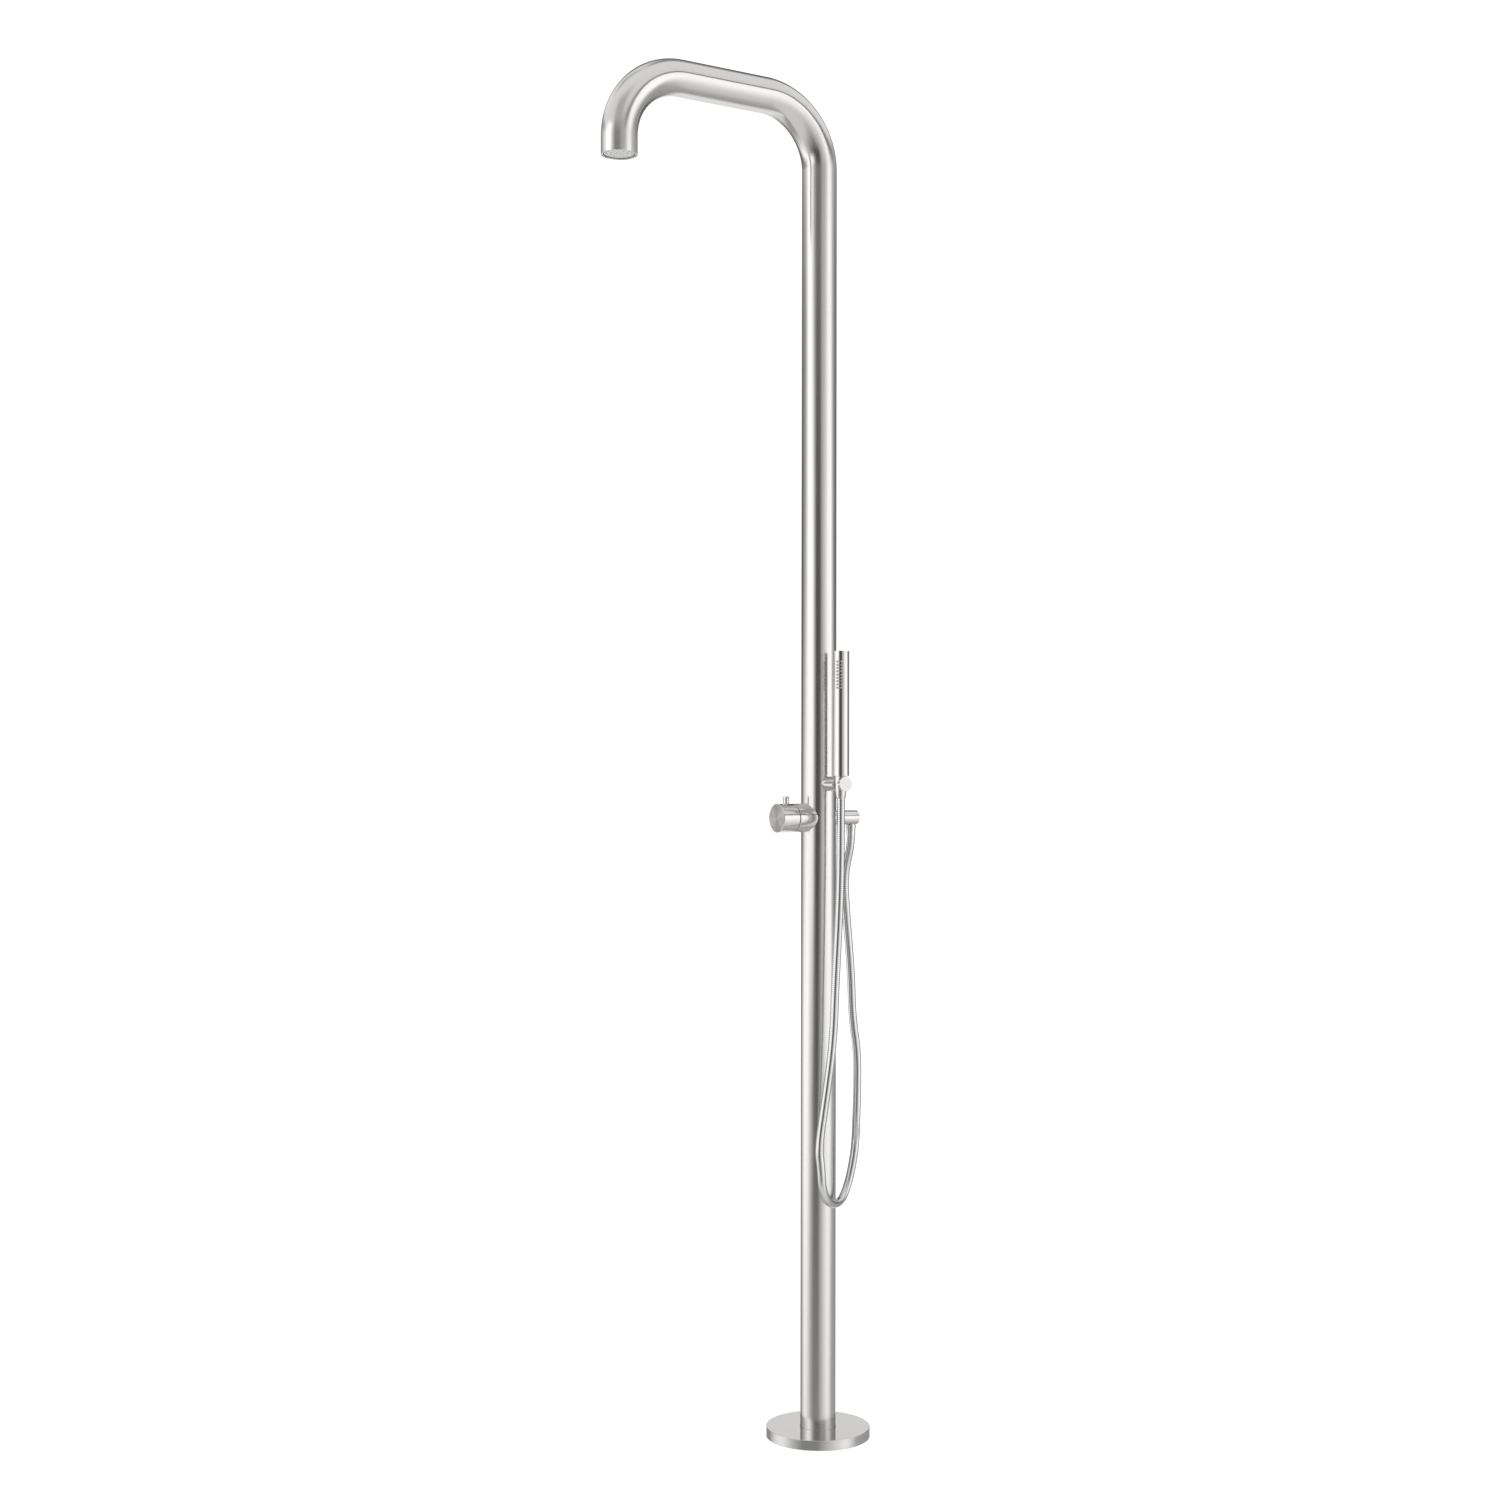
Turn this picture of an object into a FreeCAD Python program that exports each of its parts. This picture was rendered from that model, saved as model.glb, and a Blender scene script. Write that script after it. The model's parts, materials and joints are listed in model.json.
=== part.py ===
import FreeCAD, Part
import math
import os

import Sketcher

# Outdoor shower post: one bent steel tube that is post, arm and spout, with a turn control on the
# front, a hand shower in a holder on the right and its hose outlet at the back.
# Origin: centre of the base on the floor. +Z is up, the arm and the control point along -Y,
# the holder along +X and the hose outlet along +Y. Millimetres and degrees.

SIZES = {
    # riser: the bent tube
    "tube_dia": 60.0,
    "tube_wall": 2.0,
    "arm_height": 2270.0,
    "arm_reach": 390.0,
    "bend_radius": 113.0,
    "spout_drop": 144.0,
    # clearances
    "fit_gap": 0.1,
    "run_gap": 0.08,
    "seat_gap": 0.3,
    # floor flange and its cover
    "flange_dia": 150.0,
    "flange_thick": 8.0,
    "flange_bore": 46.0,
    "spigot_rise": 6.0,
    "spigot_wall": 3.0,
    "bolt_circle": 118.0,
    "bolt_hole": 9.0,
    "bolt_count": 4,
    "cover_dia": 176.0,
    "cover_height": 17.0,
    "cover_wall": 1.5,
    "cover_edge": 0.5,
    "gasket_width": 3.5,
    "gasket_thick": 3.0,
    # water supply inside the post
    "supply_dia": 15.0,
    "supply_wall": 1.0,
    "union_floor": 3.0,
    "thread_dia": 20.955,
    "thread_length": 16.0,
    "union_flats": 27.0,
    "union_hex": 12.0,
    "socket_dia": 22.0,
    "socket_depth": 16.0,
    "spacer_height": 90.0,
    "spacer_thick": 6.0,
    # valve housing inside the post
    "valve_height": 1050.0,
    "block_width": 36.0,
    "block_height": 56.0,
    "neck_dia": 40.0,
    "neck_reach": 49.0,
    "neck_room": 1.0,
    "chamber_dia": 33.0,
    "chamber_seat": 12.0,
    "port_depth": 8.0,
    "passage_dia": 8.0,
    # cartridge
    "seal_thick": 2.0,
    "cartridge_end": 40.0,
    "cartridge_wall": 2.8,
    "disc_thick": 3.5,
    "disc_port": 5.0,
    "disc_gap": 0.05,
    "driver_thick": 4.0,
    "lid_thick": 13.0,
    "stem_dia": 10.0,
    "spline_dia": 8.0,
    "stem_reach": 72.0,
    "ring_thick": 6.0,
    "ring_bore": 16.0,
    # control: collar, handle and lever pin
    "control_dia": 49.0,
    "control_reach": 85.0,
    "collar_reach": 52.0,
    "collar_shoulder": 44.0,
    "collar_lip": 1.5,
    "seam": 1.0,
    "handle_skirt": 3.0,
    "handle_recess": 6.0,
    "handle_edge": 0.8,
    "adapter_dia": 12.0,
    "adapter_start": 50.0,
    "hub_depth": 16.0,
    "pin_dia": 10.0,
    "pin_reach": 66.0,
    "pin_rise": 12.0,
    "pin_root": 8.5,
    "screw_dia": 5.0,
    "screw_length": 8.0,
    # hose outlet at the back
    "outlet_dia": 25.0,
    "outlet_reach": 77.0,
    "outlet_axis": 67.0,
    "stub_dia": 20.0,
    "stub_bore": 12.0,
    "check_start": 36.0,
    "check_length": 14.0,
    "nipple_dia": 13.0,
    "nipple_bore": 8.0,
    "nipple_root": 6.5,
    "nipple_length": 17.0,
    "nut_dia": 16.6,
    "nut_tail": 15.2,
    "nut_top": 0.5,
    "nut_floor": 6.0,
    "tail_dia": 9.8,
    "tail_bore": 6.0,
    # hose
    "hose_dia": 14.0,
    "hose_wall": 1.0,
    # holder on the right
    "holder_height": 1108.0,
    "holder_dia": 25.0,
    "holder_reach": 82.0,
    "handset_axis": 67.0,
    "slot_width": 15.5,
    "stud_dia": 8.0,
    "stud_depth": 18.0,
    "stud_head": 12.0,
    "stud_head_thick": 5.0,
    # cone nut of the hose
    "cone_top_dia": 21.0,
    "cone_low_dia": 18.6,
    "cone_tip_dia": 15.4,
    "cone_drop": 12.5,
    "cone_rise": 0.5,
    "cone_bore": 16.0,
    "cone_bore_depth": 17.0,
    # handset
    "handset_dia": 28.0,
    "handset_length": 210.0,
    "handset_wall": 2.0,
    "plug_thick": 13.0,
    "spigot_length": 15.0,
    "spigot_bore": 8.0,
    "cap_thick": 6.0,
    "insert_wall": 1.8,
    "insert_margin": 10.0,
    "nozzle_dia": 3.2,
    "nozzle_rise": 0.8,
    "nozzle_room": 0.3,
    "nozzle_first": 148.0,
    "nozzle_pitch": 5.8,
    "nozzle_rows": 9,
    "nozzle_columns": 5,
    "spray_span": 120.0,
    # overhead shower: inner hose and spray insert in the spout
    "head_hose_dia": 16.0,
    "head_hose_wall": 1.8,
    "barb_length": 14.0,
    "nipple_hex": 8.0,
    "nipple_flats": 17.0,
    "ferrule_wall": 2.0,
    "ferrule_length": 8.0,
    "insert_recess": 0.8,
    "plate_recess": 2.0,
    "plate_dia": 50.0,
    "plate_thick": 3.0,
    "insert_disc": 12.0,
    "seal_groove": 2.8,
    "seal_width": 2.6,
    "jet_dia": 2.4,
    "jet_length": 1.2,
    "jet_spacing": 7.2,
    "jet_step": 6,
    "set_screw_dia": 4.0,
    "set_screw_depth": 4.0,
    "set_screw_wall": 1.0,
}

# Route of the hose: points (x, y, height above the loop's lowest point) down from the cone nut and
# up to the outlet nut. Each side stretches in height with its nut, which has a straight run.
HOSE_FALL = [
    (69, -4, 502), (68, -11, 384), (69, -16, 284), (69, -33, 181), (70, -46, 111), (70, -49, 69),
    (67, -43, 35), (62, -24, 9),
]
HOSE_LOWEST = (52, 5)
HOSE_RISE = [
    (41, 34, 12), (33, 49, 40), (25, 59, 79), (17, 67, 127), (10, 74, 185), (4, 78, 256),
    (-4, 73, 314), (-8, 73, 394), (-11, 65, 489), (-8, 63, 547),
]
HOSE_LOW_HEIGHT = 391.0
HOSE_FALL_HEIGHT = 599.0
HOSE_RISE_HEIGHT = 595.0
HOSE_CONE_RUN = 93.0
HOSE_OUTLET_RUN = 33.0
ARC_SHARE = 0.45

UP = FreeCAD.Rotation()
DOWN = FreeCAD.Rotation(FreeCAD.Vector(1, 0, 0), 180)
FRONT = FreeCAD.Rotation(FreeCAD.Vector(1, 0, 0), 90)
BACK = FreeCAD.Rotation(FreeCAD.Vector(0, 1, 1), 180)
RIGHT = FreeCAD.Rotation(FreeCAD.Vector(1, 1, 1), 120)


class Size:
    """A number with the sheet expression that gives it, so that sums of sizes stay bound."""

    def __init__(self, text, value):
        self.text = text
        self.value = value

    def __add__(self, other):
        return Size(f"({self.text} + {text_of(other)})", self.value + number(other))

    def __radd__(self, other):
        return Size(f"({text_of(other)} + {self.text})", number(other) + self.value)

    def __sub__(self, other):
        return Size(f"({self.text} - {text_of(other)})", self.value - number(other))

    def __rsub__(self, other):
        return Size(f"({text_of(other)} - {self.text})", number(other) - self.value)

    def __mul__(self, other):
        return Size(f"({self.text} * {text_of(other)})", self.value * number(other))

    def __truediv__(self, other):
        return Size(f"({self.text} / {text_of(other)})", self.value / number(other))

    def __neg__(self):
        return Size(f"(0 - {self.text})", -self.value)


def number(size):
    return size.value if isinstance(size, Size) else size


def text_of(size):
    return size.text if isinstance(size, Size) else repr(size)


def root(size):
    return Size(f"sqrt({text_of(size)})", math.sqrt(number(size)))


doc = FreeCAD.newDocument("ShowerPost")
sheet = doc.addObject("Spreadsheet::Sheet", "Sizes")
for row, (alias, value) in enumerate(SIZES.items(), start=1):
    sheet.set(f"A{row}", alias)
    sheet.set(f"B{row}", str(value))
    sheet.setAlias(f"B{row}", alias)
doc.recompute()


class Sizes:
    """Reads a size by its alias: S.tube_dia is the cell with that alias."""

    def __getattr__(self, alias):
        return Size(f"Sizes.{alias}", float(sheet.get(alias)))


S = Sizes()
NODES = {}
CUTS = []


# ---------------------------------------------------------------- helpers

def bind(obj, prop, size):
    """Sets a property and, where the value comes from the sheet, binds it by expression."""
    if isinstance(size, Size):
        obj.setExpression(prop, size.text)


def place(obj, x=0, y=0, z=0, turn=UP):
    """Puts an object at a point, turned so that its own +Z points along the given side."""
    obj.Placement = FreeCAD.Placement(FreeCAD.Vector(number(x), number(y), number(z)), turn)
    bind(obj, "Placement.Base.x", x)
    bind(obj, "Placement.Base.y", y)
    bind(obj, "Placement.Base.z", z)
    return obj


def keep(name, obj):
    """Makes an object a sub-part of the model: its label is the name of its file."""
    obj.Label = name
    NODES[name] = obj
    return obj


def origin_part(body, role):
    """A plane or an axis of the body's origin."""
    return next(f for f in body.Origin.OriginFeatures if f.Role == role)


def sketch_on(body, role, name, offset=0):
    """A sketch on an origin plane of the body, moved along the plane's normal by offset."""
    sketch = body.newObject("Sketcher::SketchObject", name)
    sketch.AttachmentSupport = [(origin_part(body, role), "")]
    sketch.MapMode = "FlatFace"
    if number(offset):
        sketch.AttachmentOffset = FreeCAD.Placement(FreeCAD.Vector(0, 0, number(offset)), UP)
        bind(sketch, "AttachmentOffset.Base.z", offset)
    return sketch


def fix_coordinate(sketch, geo, pos, kind, coordinate, axis):
    """Holds one coordinate of a sketch point. A zero coordinate puts it on the axis."""
    if isinstance(coordinate, Size) or coordinate != 0:
        index = sketch.addConstraint(Sketcher.Constraint(kind, geo, pos, number(coordinate)))
        bind(sketch, f"Constraints[{index}]", coordinate)
    else:
        sketch.addConstraint(Sketcher.Constraint("PointOnObject", geo, pos, axis))


def fix_point(sketch, geo, pos, x, y):
    fix_coordinate(sketch, geo, pos, "DistanceX", x, -2)
    fix_coordinate(sketch, geo, pos, "DistanceY", y, -1)


def outline(sketch, corners):
    """A closed outline of straight lines, each corner bound to its sizes."""
    points = [FreeCAD.Vector(number(x), number(y), 0) for x, y in corners]
    last = len(points) - 1
    for i, point in enumerate(points):
        sketch.addGeometry(Part.LineSegment(point, points[0 if i == last else i + 1]), False)
    for i in range(len(points)):
        sketch.addConstraint(Sketcher.Constraint("Coincident", i, 2, 0 if i == last else i + 1, 1))
    for i, (x, y) in enumerate(corners):
        fix_point(sketch, i, 1, x, y)
    return sketch


def circle(sketch, radius, x=0, y=0):
    centre = FreeCAD.Vector(number(x), number(y), 0)
    up = FreeCAD.Vector(0, 0, 1)
    geo = sketch.addGeometry(Part.Circle(centre, up, number(radius)), False)
    fix_point(sketch, geo, 3, x, y)
    index = sketch.addConstraint(Sketcher.Constraint("Radius", geo, number(radius)))
    bind(sketch, f"Constraints[{index}]", radius)
    return sketch


def turned(name, corners):
    """A body turned about its own Z axis from an outline of (radius, height) corners."""
    body = doc.addObject("PartDesign::Body", name)
    sketch = outline(sketch_on(body, "XZ_Plane", f"{name}_outline"), corners)
    revolution = body.newObject("PartDesign::Revolution", f"{name}_turning")
    revolution.Profile = sketch
    revolution.ReferenceAxis = (sketch, ["V_Axis"])
    revolution.Angle = 360
    sketch.Visibility = False
    return body


def ring(inner, outer, low, high):
    """The four corners of a plain ring or sleeve."""
    return [(inner, low), (outer, low), (outer, high), (inner, high)]


def pad(body, sketch, length, name, reverse=False):
    feature = body.newObject("PartDesign::Pad", name)
    feature.Profile = sketch
    feature.Length = number(length)
    bind(feature, "Length", length)
    feature.Reversed = reverse
    return feature


def pocket(body, sketch, length, name, reverse=False):
    feature = body.newObject("PartDesign::Pocket", name)
    feature.Profile = sketch
    feature.Length = number(length)
    bind(feature, "Length", length)
    feature.Reversed = reverse
    CUTS.append(feature)
    return feature


def round_pattern(body, feature, count, name, span=360.0, reverse=False):
    """Copies a feature round the body's Z axis, over a full turn or a span of degrees."""
    pattern = body.newObject("PartDesign::PolarPattern", name)
    pattern.Originals = [feature]
    pattern.Axis = (origin_part(body, "Z_Axis"), [""])
    pattern.Angle = number(span)
    bind(pattern, "Angle", span)
    pattern.Occurrences = int(number(count))
    bind(pattern, "Occurrences", count)
    pattern.Reversed = reverse
    body.Tip = pattern
    return pattern


def grid_pattern(body, feature, name):
    """Copies a nozzle along the handset's length and round its front, as rows and columns."""
    multi = body.newObject("PartDesign::MultiTransform", name)
    multi.Originals = [feature]
    rows = body.newObject("PartDesign::LinearPattern", f"{name}_rows")
    rows.Direction = (origin_part(body, "Z_Axis"), [""])
    rows.Length = number(S.nozzle_pitch * (S.nozzle_rows - 1))
    bind(rows, "Length", S.nozzle_pitch * (S.nozzle_rows - 1))
    rows.Occurrences = int(number(S.nozzle_rows))
    bind(rows, "Occurrences", S.nozzle_rows)
    columns = body.newObject("PartDesign::PolarPattern", f"{name}_columns")
    columns.Axis = (origin_part(body, "Z_Axis"), [""])
    columns.Angle = number(S.spray_span)
    bind(columns, "Angle", S.spray_span)
    columns.Occurrences = int(number(S.nozzle_columns))
    bind(columns, "Occurrences", S.nozzle_columns)
    columns.Reversed = True
    multi.Transformations = [rows, columns]
    body.Tip = multi
    return multi


def cylinder(radius, height, x=0, y=0, z=0, turn=UP):
    solid = doc.addObject("Part::Cylinder", "round_bar")
    solid.Radius = number(radius)
    solid.Height = number(height)
    bind(solid, "Radius", radius)
    bind(solid, "Height", height)
    return place(solid, x, y, z, turn)


def prism(flats, height, x=0, y=0, z=0, turn=UP):
    """A hexagonal bar by its width across flats."""
    solid = doc.addObject("Part::Prism", "hex_bar")
    solid.Polygon = 6
    solid.Circumradius = number(flats / root(3))
    solid.Height = number(height)
    bind(solid, "Circumradius", flats / root(3))
    bind(solid, "Height", height)
    return place(solid, x, y, z, turn)


def box(length, width, height, x, y, z):
    solid = doc.addObject("Part::Box", "block")
    for prop, size in (("Length", length), ("Width", width), ("Height", height)):
        setattr(solid, prop, number(size))
        bind(solid, prop, size)
    return place(solid, x, y, z)


def fuse(*shapes):
    joined = doc.addObject("Part::MultiFuse", "joined")
    joined.Shapes = list(shapes)
    return joined


def cut(base, *tools):
    result = doc.addObject("Part::Cut", "cut")
    result.Base = base
    result.Tool = tools[0] if len(tools) == 1 else fuse(*tools)
    CUTS.append(result)
    return result


def post_bar(height, span):
    """The outside of the post round a height, as a tool that cuts saddles."""
    return cylinder(S.tube_dia / 2, span, 0, 0, height - span / 2)


# ---------------------------------------------------------------- riser

def bent_path(body, name, start, end):
    """Centre line of post, arm and spout between two heights, as lines and tangent arcs."""
    sketch = sketch_on(body, "YZ_Plane", name)
    top, reach, bend = number(S.arm_height), number(S.arm_reach), number(S.bend_radius)
    low = top - bend
    corners = [(0, number(start)), (0, low), (-bend, top), (bend - reach, top), (-reach, low),
               (-reach, number(end))]
    points = [FreeCAD.Vector(x, y, 0) for x, y in corners]
    up = FreeCAD.Vector(0, 0, 1)
    first_bend = Part.Circle(FreeCAD.Vector(-bend, low, 0), up, bend)
    second_bend = Part.Circle(FreeCAD.Vector(bend - reach, low, 0), up, bend)
    quarter = math.pi / 2
    sketch.addGeometry(Part.LineSegment(points[0], points[1]), False)
    sketch.addGeometry(Part.ArcOfCircle(first_bend, 0, quarter), False)
    sketch.addGeometry(Part.LineSegment(points[2], points[3]), False)
    sketch.addGeometry(Part.ArcOfCircle(second_bend, quarter, 2 * quarter), False)
    sketch.addGeometry(Part.LineSegment(points[4], points[5]), False)
    for geo, end_of, next_geo, start_of in ((0, 2, 1, 1), (1, 2, 2, 1), (2, 2, 3, 1), (3, 2, 4, 1)):
        sketch.addConstraint(Sketcher.Constraint("Coincident", geo, end_of, next_geo, start_of))
    fix_point(sketch, 0, 1, 0, start)
    fix_point(sketch, 0, 2, 0, S.arm_height - S.bend_radius)
    fix_coordinate(sketch, 1, 3, "DistanceX", -S.bend_radius, -2)
    fix_point(sketch, 2, 1, -S.bend_radius, S.arm_height)
    fix_point(sketch, 2, 2, S.bend_radius - S.arm_reach, S.arm_height)
    fix_coordinate(sketch, 3, 3, "DistanceX", S.bend_radius - S.arm_reach, -2)
    fix_point(sketch, 4, 1, -S.arm_reach, S.arm_height - S.bend_radius)
    fix_point(sketch, 4, 2, -S.arm_reach, end)
    return sketch


def bent_tube(name, outer, wall, start, end):
    """A tube bent along the centre line of the riser."""
    body = doc.addObject("PartDesign::Body", name)
    section = sketch_on(body, "XY_Plane", f"{name}_section", start)
    circle(section, outer / 2)
    circle(section, outer / 2 - wall)
    pipe = body.newObject("PartDesign::AdditivePipe", f"{name}_pipe")
    pipe.Profile = section
    pipe.Spine = (bent_path(body, f"{name}_path", start, end), [f"Edge{i}" for i in range(1, 6)])
    return body


def spout_end():
    return S.arm_height - S.spout_drop


def groove_top():
    """Top of the seal's groove in the spray insert, above the spout's end."""
    return S.plate_recess + S.plate_thick + S.seal_groove * 1.5


def set_screw_height():
    return spout_end() + groove_top() + S.set_screw_wall + S.set_screw_dia / 2


def riser_tube():
    """Post, arm and spout, with the holes for control, outlet, holder stud and set screw."""
    body = bent_tube("riser_tube", S.tube_dia, S.tube_wall, S.flange_thick, spout_end())
    front = circle(sketch_on(body, "XZ_Plane", "neck_hole"), S.neck_dia / 2 + S.neck_room, 0,
                   S.valve_height)
    pocket(body, front, S.tube_dia, "neck_hole_cut", reverse=True)
    back = circle(sketch_on(body, "XZ_Plane", "stub_hole"), S.stub_dia / 2 + S.seat_gap, 0,
                  S.valve_height)
    pocket(body, back, S.tube_dia, "stub_hole_cut")
    side = circle(sketch_on(body, "YZ_Plane", "stud_hole"), S.stud_dia / 2 + S.seat_gap, 0,
                  S.holder_height)
    pocket(body, side, S.tube_dia, "stud_hole_cut", reverse=True)
    spout = circle(sketch_on(body, "XZ_Plane", "set_screw_hole", S.arm_reach),
                   S.set_screw_dia / 2 + S.fit_gap, 0, set_screw_height())
    pocket(body, spout, S.tube_dia, "set_screw_hole_cut")
    keep("riser_tube", body)


# ---------------------------------------------------------------- base

def mounting_flange():
    """Round floor flange. The tube stands on it, centred by a spigot inside the tube."""
    spigot = S.tube_dia / 2 - S.tube_wall - S.fit_gap
    top = S.flange_thick + S.spigot_rise
    body = turned("mounting_flange", [
        (S.flange_bore / 2, 0), (S.flange_dia / 2, 0), (S.flange_dia / 2, S.flange_thick),
        (spigot, S.flange_thick), (spigot, top), (spigot - S.spigot_wall, top),
        (spigot - S.spigot_wall, S.flange_thick), (S.flange_bore / 2, S.flange_thick)])
    hole = circle(sketch_on(body, "XY_Plane", "bolt_hole_outline"), S.bolt_hole / 2,
                  S.bolt_circle / 2, 0)
    drilled = pocket(body, hole, S.flange_thick, "bolt_hole_cut", reverse=True)
    round_pattern(body, drilled, S.bolt_count, "bolt_holes")
    keep("mounting_flange", body)


def base_cover():
    """Turned cover over the flange. It slides up the post to reach the floor bolts."""
    inner = S.tube_dia / 2 + S.seat_gap
    outer = S.cover_dia / 2
    under = S.cover_height - S.cover_wall
    keep("base_cover", turned("base_cover", [
        (outer - S.cover_wall, 0), (outer, 0), (outer, S.cover_height - S.cover_edge),
        (outer - S.cover_edge, S.cover_height), (inner, S.cover_height), (inner, under),
        (outer - S.cover_wall, under)]))
    keep("cover_gasket", turned("cover_gasket", ring(
        inner, inner + S.gasket_width, under - S.gasket_thick, under)))


# ---------------------------------------------------------------- supply

def inlet_union():
    """Inlet union at the foot: a half inch thread below, a hexagon and a socket for the pipe."""
    hex_low = S.union_floor + S.thread_length
    socket_low = hex_low + S.union_hex
    thread = cylinder(S.thread_dia / 2, S.thread_length, z=S.union_floor)
    hexagon = prism(S.union_flats, S.union_hex, z=hex_low)
    socket = cylinder(S.socket_dia / 2, S.socket_depth, z=socket_low)
    bore = cylinder(S.supply_dia / 2 - S.supply_wall, S.thread_length + S.union_hex,
                    z=S.union_floor)
    seat = cylinder(S.supply_dia / 2 + S.fit_gap, S.socket_depth, z=socket_low)
    keep("inlet_union", cut(fuse(thread, hexagon, socket), fuse(bore, seat)))


def supply_pipe():
    low = S.union_floor + S.thread_length + S.union_hex
    high = S.valve_height - S.block_height / 2 + S.port_depth
    outer = S.supply_dia / 2
    keep("supply_pipe", turned("supply_pipe", ring(outer - S.supply_wall, outer, low, high)))
    keep("pipe_spacer", turned("pipe_spacer", ring(
        outer + S.fit_gap, S.tube_dia / 2 - S.tube_wall - S.fit_gap, S.spacer_height,
        S.spacer_height + S.spacer_thick)))


# ---------------------------------------------------------------- valve

def valve_housing():
    """Brass block inside the post, with the cartridge chamber in a neck through the post's wall."""
    half = S.block_width / 2
    low = S.valve_height - S.block_height / 2
    high = S.valve_height + S.block_height / 2
    block = box(S.block_width, S.block_width, S.block_height, -half, -half, low)
    neck = cylinder(S.neck_dia / 2, S.neck_reach, z=S.valve_height, turn=FRONT)
    chamber = cylinder(S.chamber_dia / 2 + S.fit_gap, S.neck_reach - S.chamber_seat,
                       y=-S.chamber_seat, z=S.valve_height, turn=FRONT)
    inlet = cylinder(S.supply_dia / 2 + S.fit_gap, S.port_depth, z=low)
    head = cylinder(S.nipple_dia / 2 + S.fit_gap, S.port_depth, z=high - S.port_depth)
    hose = cylinder(S.stub_dia / 2 + S.fit_gap, half - S.port_depth, y=S.port_depth,
                    z=S.valve_height, turn=BACK)
    riser = cylinder(S.passage_dia / 2, S.block_height - S.port_depth * 2, z=low + S.port_depth)
    across = cylinder(S.passage_dia / 2, S.chamber_seat + S.port_depth, y=-S.chamber_seat,
                      z=S.valve_height, turn=BACK)
    keep("valve_housing", cut(fuse(block, neck), chamber, inlet, head, hose, riser, across))


def disc_start():
    return S.chamber_seat + S.seal_thick


def cartridge():
    """Ceramic disc cartridge in the neck. Heights run outward from the post's axis."""
    radius = S.chamber_dia / 2
    cavity = radius - S.cartridge_wall
    lid = S.cartridge_end - S.lid_thick
    body = turned("cartridge_gasket", ring(S.passage_dia / 2, radius, S.chamber_seat, disc_start()))
    keep("cartridge_gasket", place(body, z=S.valve_height, turn=FRONT))
    body = turned("cartridge_body", [
        (cavity, disc_start()), (radius, disc_start()), (radius, S.cartridge_end),
        (S.stem_dia / 2 + S.run_gap, S.cartridge_end), (S.stem_dia / 2 + S.run_gap, lid),
        (cavity, lid)])
    keep("cartridge_body", place(body, z=S.valve_height, turn=FRONT))
    body = turned("cartridge_nut", ring(
        S.ring_bore / 2, radius, S.cartridge_end, S.cartridge_end + S.ring_thick))
    keep("cartridge_nut", place(body, z=S.valve_height, turn=FRONT))


def ceramic_disc(name, start, count):
    """A ceramic disc with its ports on a circle at half its radius."""
    radius = S.chamber_dia / 2 - S.cartridge_wall - S.fit_gap
    body = turned(name, [(0, start), (radius, start), (radius, start + S.disc_thick),
                         (0, start + S.disc_thick)])
    port = circle(sketch_on(body, "XY_Plane", f"{name}_port", start), S.disc_port / 2, 0, radius / 2)
    drilled = pocket(body, port, S.disc_thick, f"{name}_port_cut", reverse=True)
    round_pattern(body, drilled, count, f"{name}_ports")
    keep(name, place(body, z=S.valve_height, turn=FRONT))


def cartridge_stem():
    """Driver that turns the moving disc, with the splined stem in one piece."""
    moving = disc_start() + S.disc_thick + S.disc_gap
    low = moving + S.disc_thick
    high = low + S.driver_thick
    driver = S.chamber_dia / 2 - S.cartridge_wall - S.seat_gap
    body = turned("cartridge_stem", [
        (0, low), (driver, low), (driver, high), (S.stem_dia / 2, high),
        (S.stem_dia / 2, S.cartridge_end), (S.spline_dia / 2, S.cartridge_end),
        (S.spline_dia / 2, S.stem_reach), (0, S.stem_reach)])
    keep("cartridge_stem", place(body, z=S.valve_height, turn=FRONT))
    ceramic_disc("fixed_disc", disc_start(), 3)
    ceramic_disc("moving_disc", moving, 1)


# ---------------------------------------------------------------- control

def control_collar():
    """Rear part of the control, saddled to the post and clamped by the collar nut."""
    radius = S.control_dia / 2
    bore = S.neck_dia / 2 + S.fit_gap
    body = turned("collar_blank", [
        (bore, 0), (radius, 0), (radius, S.collar_reach), (radius - S.collar_lip, S.collar_reach),
        (radius - S.collar_lip, S.collar_shoulder), (bore, S.collar_shoulder)])
    place(body, z=S.valve_height, turn=FRONT)
    keep("control_collar", cut(body, post_bar(S.valve_height, S.control_dia * 2)))
    nut = turned("collar_nut", ring(bore, radius - S.collar_lip - S.fit_gap, S.collar_shoulder,
                                    S.neck_reach))
    keep("collar_nut", place(nut, z=S.valve_height, turn=FRONT))


def handle_start():
    return S.collar_reach + S.seam


def hub_end():
    return handle_start() + S.handle_recess + S.hub_depth


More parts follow.
